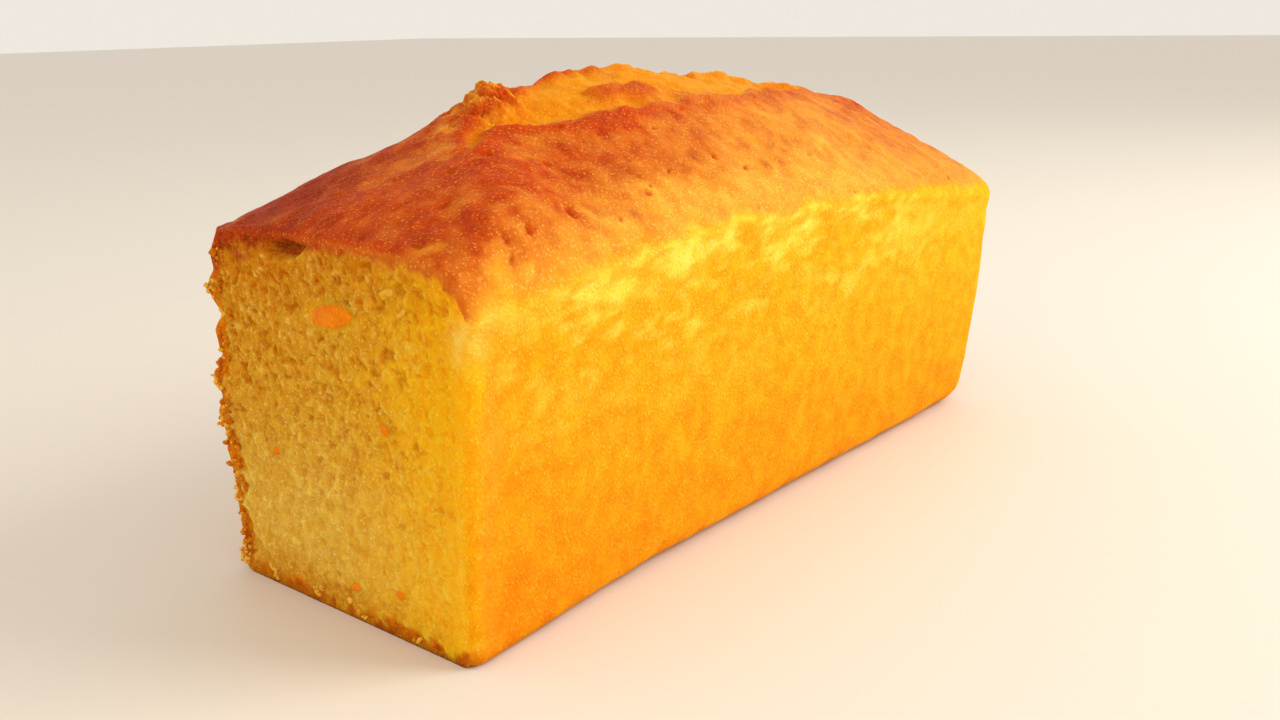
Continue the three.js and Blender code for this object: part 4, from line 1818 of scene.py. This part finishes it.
@dataclass
class Bits:
    """Small lumps on the cut face, joined into one piece."""

    form: LoafForm
    noise: LumpNoise = field(default_factory=lambda: LumpNoise(BITS_SEED))
    grain: float = 0.9
    across: int = 12
    up: int = 8
    lumpy: float = 0.22

    def ball(self, spot: BitPlace) -> Array:
        """A lumpy ball as grid points: latitude and longitude carried to an ellipsoid stirred by noise.

        Args:
            spot: Its place, half sizes and turn.

        Returns:
            Rows of points from pole to pole.
        """
        lat = np.linspace(-np.pi / 2, np.pi / 2, self.up + 1)[:, None]
        lon = np.linspace(0, 2 * np.pi, self.across, endpoint=False)[None]
        ring = np.cos(lat)
        unit = np.stack(np.broadcast_arrays(np.sin(lat), ring * np.cos(lon), ring * np.sin(lon)), -1)
        radius = 1 + self.lumpy * self.noise.layered(unit + (spot.y, spot.z, 0), self.grain)
        across, up = (unit[..., k] * radius for k in (1, 2))
        y = across * spot.half_width * math.cos(spot.turn) - up * spot.half_height * math.sin(spot.turn)
        z = across * spot.half_width * math.sin(spot.turn) + up * spot.half_height * math.cos(spot.turn)
        out = unit[..., 0] * radius * spot.proud - spot.sunk
        slope = self.form.cut_angle
        place_y = spot.y + y * math.cos(slope) + out * math.sin(slope)
        place_x = self.form.cut_at(np.full((), spot.y)) + y * math.sin(slope) - out * math.cos(slope)
        return np.stack([place_x, place_y, spot.z + z], -1)

    def build(
        self, name: str, spots: list[BitPlace], shift: Array, material: bpy.types.Material
    ) -> bpy.types.Object:
        """Joins the lumps into one piece.

        Args:
            name: Name of the piece.
            spots: Where the lumps sit.
            shift: Move of all points, in millimetres.
            material: Their material.

        Returns:
            The piece.
        """
        shell = Shell()
        for spot in spots:
            points = self.ball(spot)
            blank = np.zeros_like(points)
            rings = Patch(points[1:-1], blank[1:-1], blank[1:-1])
            ids = shell.add_points(rings)
            poles = shell.add_points(Patch(points[[0, -1], 0], blank[[0, -1], 0], blank[[0, -1], 0]))
            round_ids = np.concatenate([ids, ids[:, :1]], 1)
            shell.add_quads(round_ids.T)
            for pole, ring in ((poles[0], round_ids[0]), (poles[1], round_ids[-1, ::-1])):
                shell.triangles.append(np.stack([np.full(len(ring) - 1, pole), ring[1:], ring[:-1]], 1))
        return shell.build(name, shift, material)


PALE_FLAKES = [
    BitPlace(-14.5, 55.0, 1.5, 0.8, 0.7, -0.4, 0.3),
    BitPlace(-18.2, 52.6, 1.0, 0.6, 0.9, -0.8, 0.2),
]


@dataclass(frozen=True)
class Cluster:
    """A cluster of bits on the cut face: its place and spread in millimetres, and how many bits it has."""

    y: float
    z: float
    spread: float
    count: int


CRUMB_CLUSTERS = (
    Cluster(35.3, 34.0, 0.7, 8),
    Cluster(34.6, 50.0, 0.7, 4),
    Cluster(34.6, 27.6, 0.8, 6),
    Cluster(32.2, 13.4, 0.7, 5),
    Cluster(31.0, 2.0, 0.9, 10),
    Cluster(21.0, 1.4, 0.9, 6),
    Cluster(9.0, 1.6, 1.2, 5),
    Cluster(-3.0, 1.4, 1.4, 6),
    Cluster(-16.0, 1.4, 1.2, 4),
)


@dataclass(frozen=True)
class Strewing:
    """Bits strewn along the torn +Y border of the cut: number, depth inside it, and half sizes (mm)."""

    count: int
    depth: float
    sizes: tuple[float, float]
    seed: int
    heights: tuple[float, float] = (2, 57)
    spread: float = 0.1
    lowest: float = 0.9
    flatness: tuple[float, float] = (0.6, 1)
    turns: tuple[float, float] = (0, 3)
    sunk: float = 0.3

    def spots(self, loaf: Loaf, clusters: tuple[Cluster, ...] = ()) -> list[BitPlace]:
        """Places of the bits.

        Args:
            loaf: The loaf whose border they follow.
            clusters: Clusters of bits besides.

        Returns:
            One place for each bit, with a random size and turn.
        """
        rng = np.random.default_rng(self.seed)
        hearts = [(c.y, c.z, c.spread) for c in clusters for _ in range(c.count)]
        for z in rng.uniform(*self.heights, self.count):
            hearts.append((loaf.border_y(z) - rng.uniform(0, self.depth), z, self.spread))
        spots = []
        for y, z, spread in hearts:
            size = rng.uniform(*self.sizes)
            place = (y + spread * rng.normal(), max(z + spread * rng.normal(), self.lowest))
            height = size * rng.uniform(*self.flatness)
            spots.append(BitPlace(*place, size, height, size, rng.uniform(*self.turns), self.sunk * size))
        return spots


CRUMB_STREWING = Strewing(46, 2.2, (0.25, 0.6), 5)
CRUST_STREWING = Strewing(80, 4.0, (0.3, 0.8), 8)


@dataclass(frozen=True)
class PhotoCamera:
    """The solved view: a pinhole of 1400 pixels over a frame 1280 wide, in millimetres and degrees."""

    place: tuple[float, float, float] = (-230.65, -162.69, 94.3)
    yaw: float = 36.2
    pitch: float = 14.0
    roll: float = 1.0
    focal: float = 1400.0
    frame_width: float = 1280.0
    sensor: float = 36.0
    clip_start: float = 0.01

    def build(self) -> None:
        """Makes the scene's camera."""
        yaw, pitch, roll = (math.radians(v) for v in (self.yaw, self.pitch, self.roll))
        ahead = Vector((math.cos(pitch) * math.cos(yaw), math.cos(pitch) * math.sin(yaw), -math.sin(pitch)))
        right = Vector((math.sin(yaw), -math.cos(yaw), 0))
        down = ahead.cross(right)
        across = right * math.cos(roll) + down * math.sin(roll)
        up = right * math.sin(roll) - down * math.cos(roll)
        data = bpy.data.cameras.new("photo_view")
        data.sensor_width = self.sensor
        data.lens = self.focal / self.frame_width * self.sensor
        data.clip_start = self.clip_start
        camera = bpy.data.objects.new("photo_view", data)
        turn = Matrix((across, up, -ahead)).transposed()
        camera.matrix_world = Matrix.Translation(Vector(self.place) * MM) @ turn.to_4x4()
        bpy.context.scene.collection.objects.link(camera)
        bpy.context.scene.camera = camera


@dataclass(frozen=True)
class SoftLight:
    """A square soft light that looks at the loaf's middle, in metres and watts."""

    name: str
    place: tuple[float, float, float]
    size: float
    power: float
    color: Color
    aim: tuple[float, float, float] = (0, 0, 0.04)

    def build(self) -> None:
        """Makes the light."""
        lamp = bpy.data.lights.new(self.name, "AREA")
        lamp.size = self.size
        lamp.energy = self.power
        lamp.color = self.color
        holder = bpy.data.objects.new(self.name, lamp)
        holder.location = self.place
        holder.rotation_euler = (Vector(self.aim) - holder.location).to_track_quat("-Z", "Y").to_euler()
        bpy.context.scene.collection.objects.link(holder)


@dataclass(frozen=True)
class Studio:
    """Pale floor and surroundings, a soft light from the right of the view and a weaker one from the left."""

    floor_half: float = 4.0
    floor_color: Color = (0.78, 0.73, 0.66)
    floor_roughness: float = 0.6
    sky: Color = (0.86, 0.81, 0.74)
    sky_strength: float = 1.0
    lights: tuple[SoftLight, ...] = (
        SoftLight("key", (0.42, -0.62, 0.46), 0.55, 6.0, (1.0, 0.93, 0.82)),
        SoftLight("fill", (-0.78, -0.2, 0.35), 0.6, 1.2, (1.0, 0.88, 0.66)),
    )

    def build(self) -> None:
        """Makes the floor, the surroundings and the lights."""
        half = self.floor_half
        corners = [(-half, -half, 0), (half, -half, 0), (half, half, 0), (-half, half, 0)]
        mesh = bpy.data.meshes.new("floor")
        mesh.from_pydata(corners, [], [(0, 1, 2, 3)])
        material, _, shader = Materials.start("floor")
        shader.inputs["Base Color"].default_value = opaque(self.floor_color)
        shader.inputs["Roughness"].default_value = self.floor_roughness
        mesh.materials.append(material)
        floor = bpy.data.objects.new("floor", mesh)
        bpy.context.scene.collection.objects.link(floor)

        world = bpy.data.worlds.new("surroundings")
        world.use_nodes = True
        sky = world.node_tree.nodes["Background"]
        sky.inputs["Color"].default_value = opaque(self.sky)
        sky.inputs["Strength"].default_value = self.sky_strength
        bpy.context.scene.world = world

        for light in self.lights:
            light.build()


def seat(form: LoafForm, box: tuple[Vector, Vector]) -> Array:
    """Move, in millimetres, that brings the plain form's box over the CAD node's box.

    Args:
        form: The loaf's form.
        box: The CAD node's lowest and highest corner, in metres.

    Returns:
        The move along X, Y and Z.
    """
    along = np.linspace(0, 1, SEAT_STEPS[0])[:, None, None]
    b = np.linspace(-1, 1, SEAT_STEPS[1])[None, :, None]
    h = np.linspace(0, 1, SEAT_STEPS[2])[None, None]
    points = form.skin(along, np.zeros(()), b, h, LumpNoise(LOAF_SEED)).points.reshape(-1, 3)
    middle = (points.min(0) + points.max(0)) / 2
    wanted = (np.array(box[0]) + np.array(box[1])) / 2 / MM
    move = wanted - middle
    move[2] = 0
    return move


def main() -> None:
    """Builds the loaf, its bits and the stage."""
    logging.basicConfig(level=logging.INFO, format="%(name)s %(message)s")
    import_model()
    bpy.context.scene.view_settings.view_transform = "Standard"

    form = LoafForm()
    shift = seat(form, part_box(NODE))
    LOG.info("form moved by %s mm", np.round(shift, 2))
    materials = Materials(BakedGrain(), SoftGlow())
    loaf = Loaf(form)
    crumbs = PALE_FLAKES + CRUMB_STREWING.spots(loaf, CRUMB_CLUSTERS)
    crust_bits = CRUST_STREWING.spots(loaf)
    smooth = Bits(form, lumpy=0.12)
    rough = Bits(form, up=6, across=9, lumpy=0.5)
    pieces = [
        loaf.build(shift, materials.loaf()),
        smooth.build("peel", PEEL_SPOTS, shift, materials.bits(PEEL_BITS)),
        rough.build("crumbs", crumbs, shift, materials.bits(CRUMB_BITS)),
        rough.build("crust_bits", crust_bits, shift, materials.bits(CRUST_BITS)),
    ]
    for piece in pieces:
        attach(piece, BODY)
        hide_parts(NODE)
        LOG.info("%s placed", piece.name)
    Studio().build()
    PhotoCamera().build()


if __name__ == "__main__":
    main()
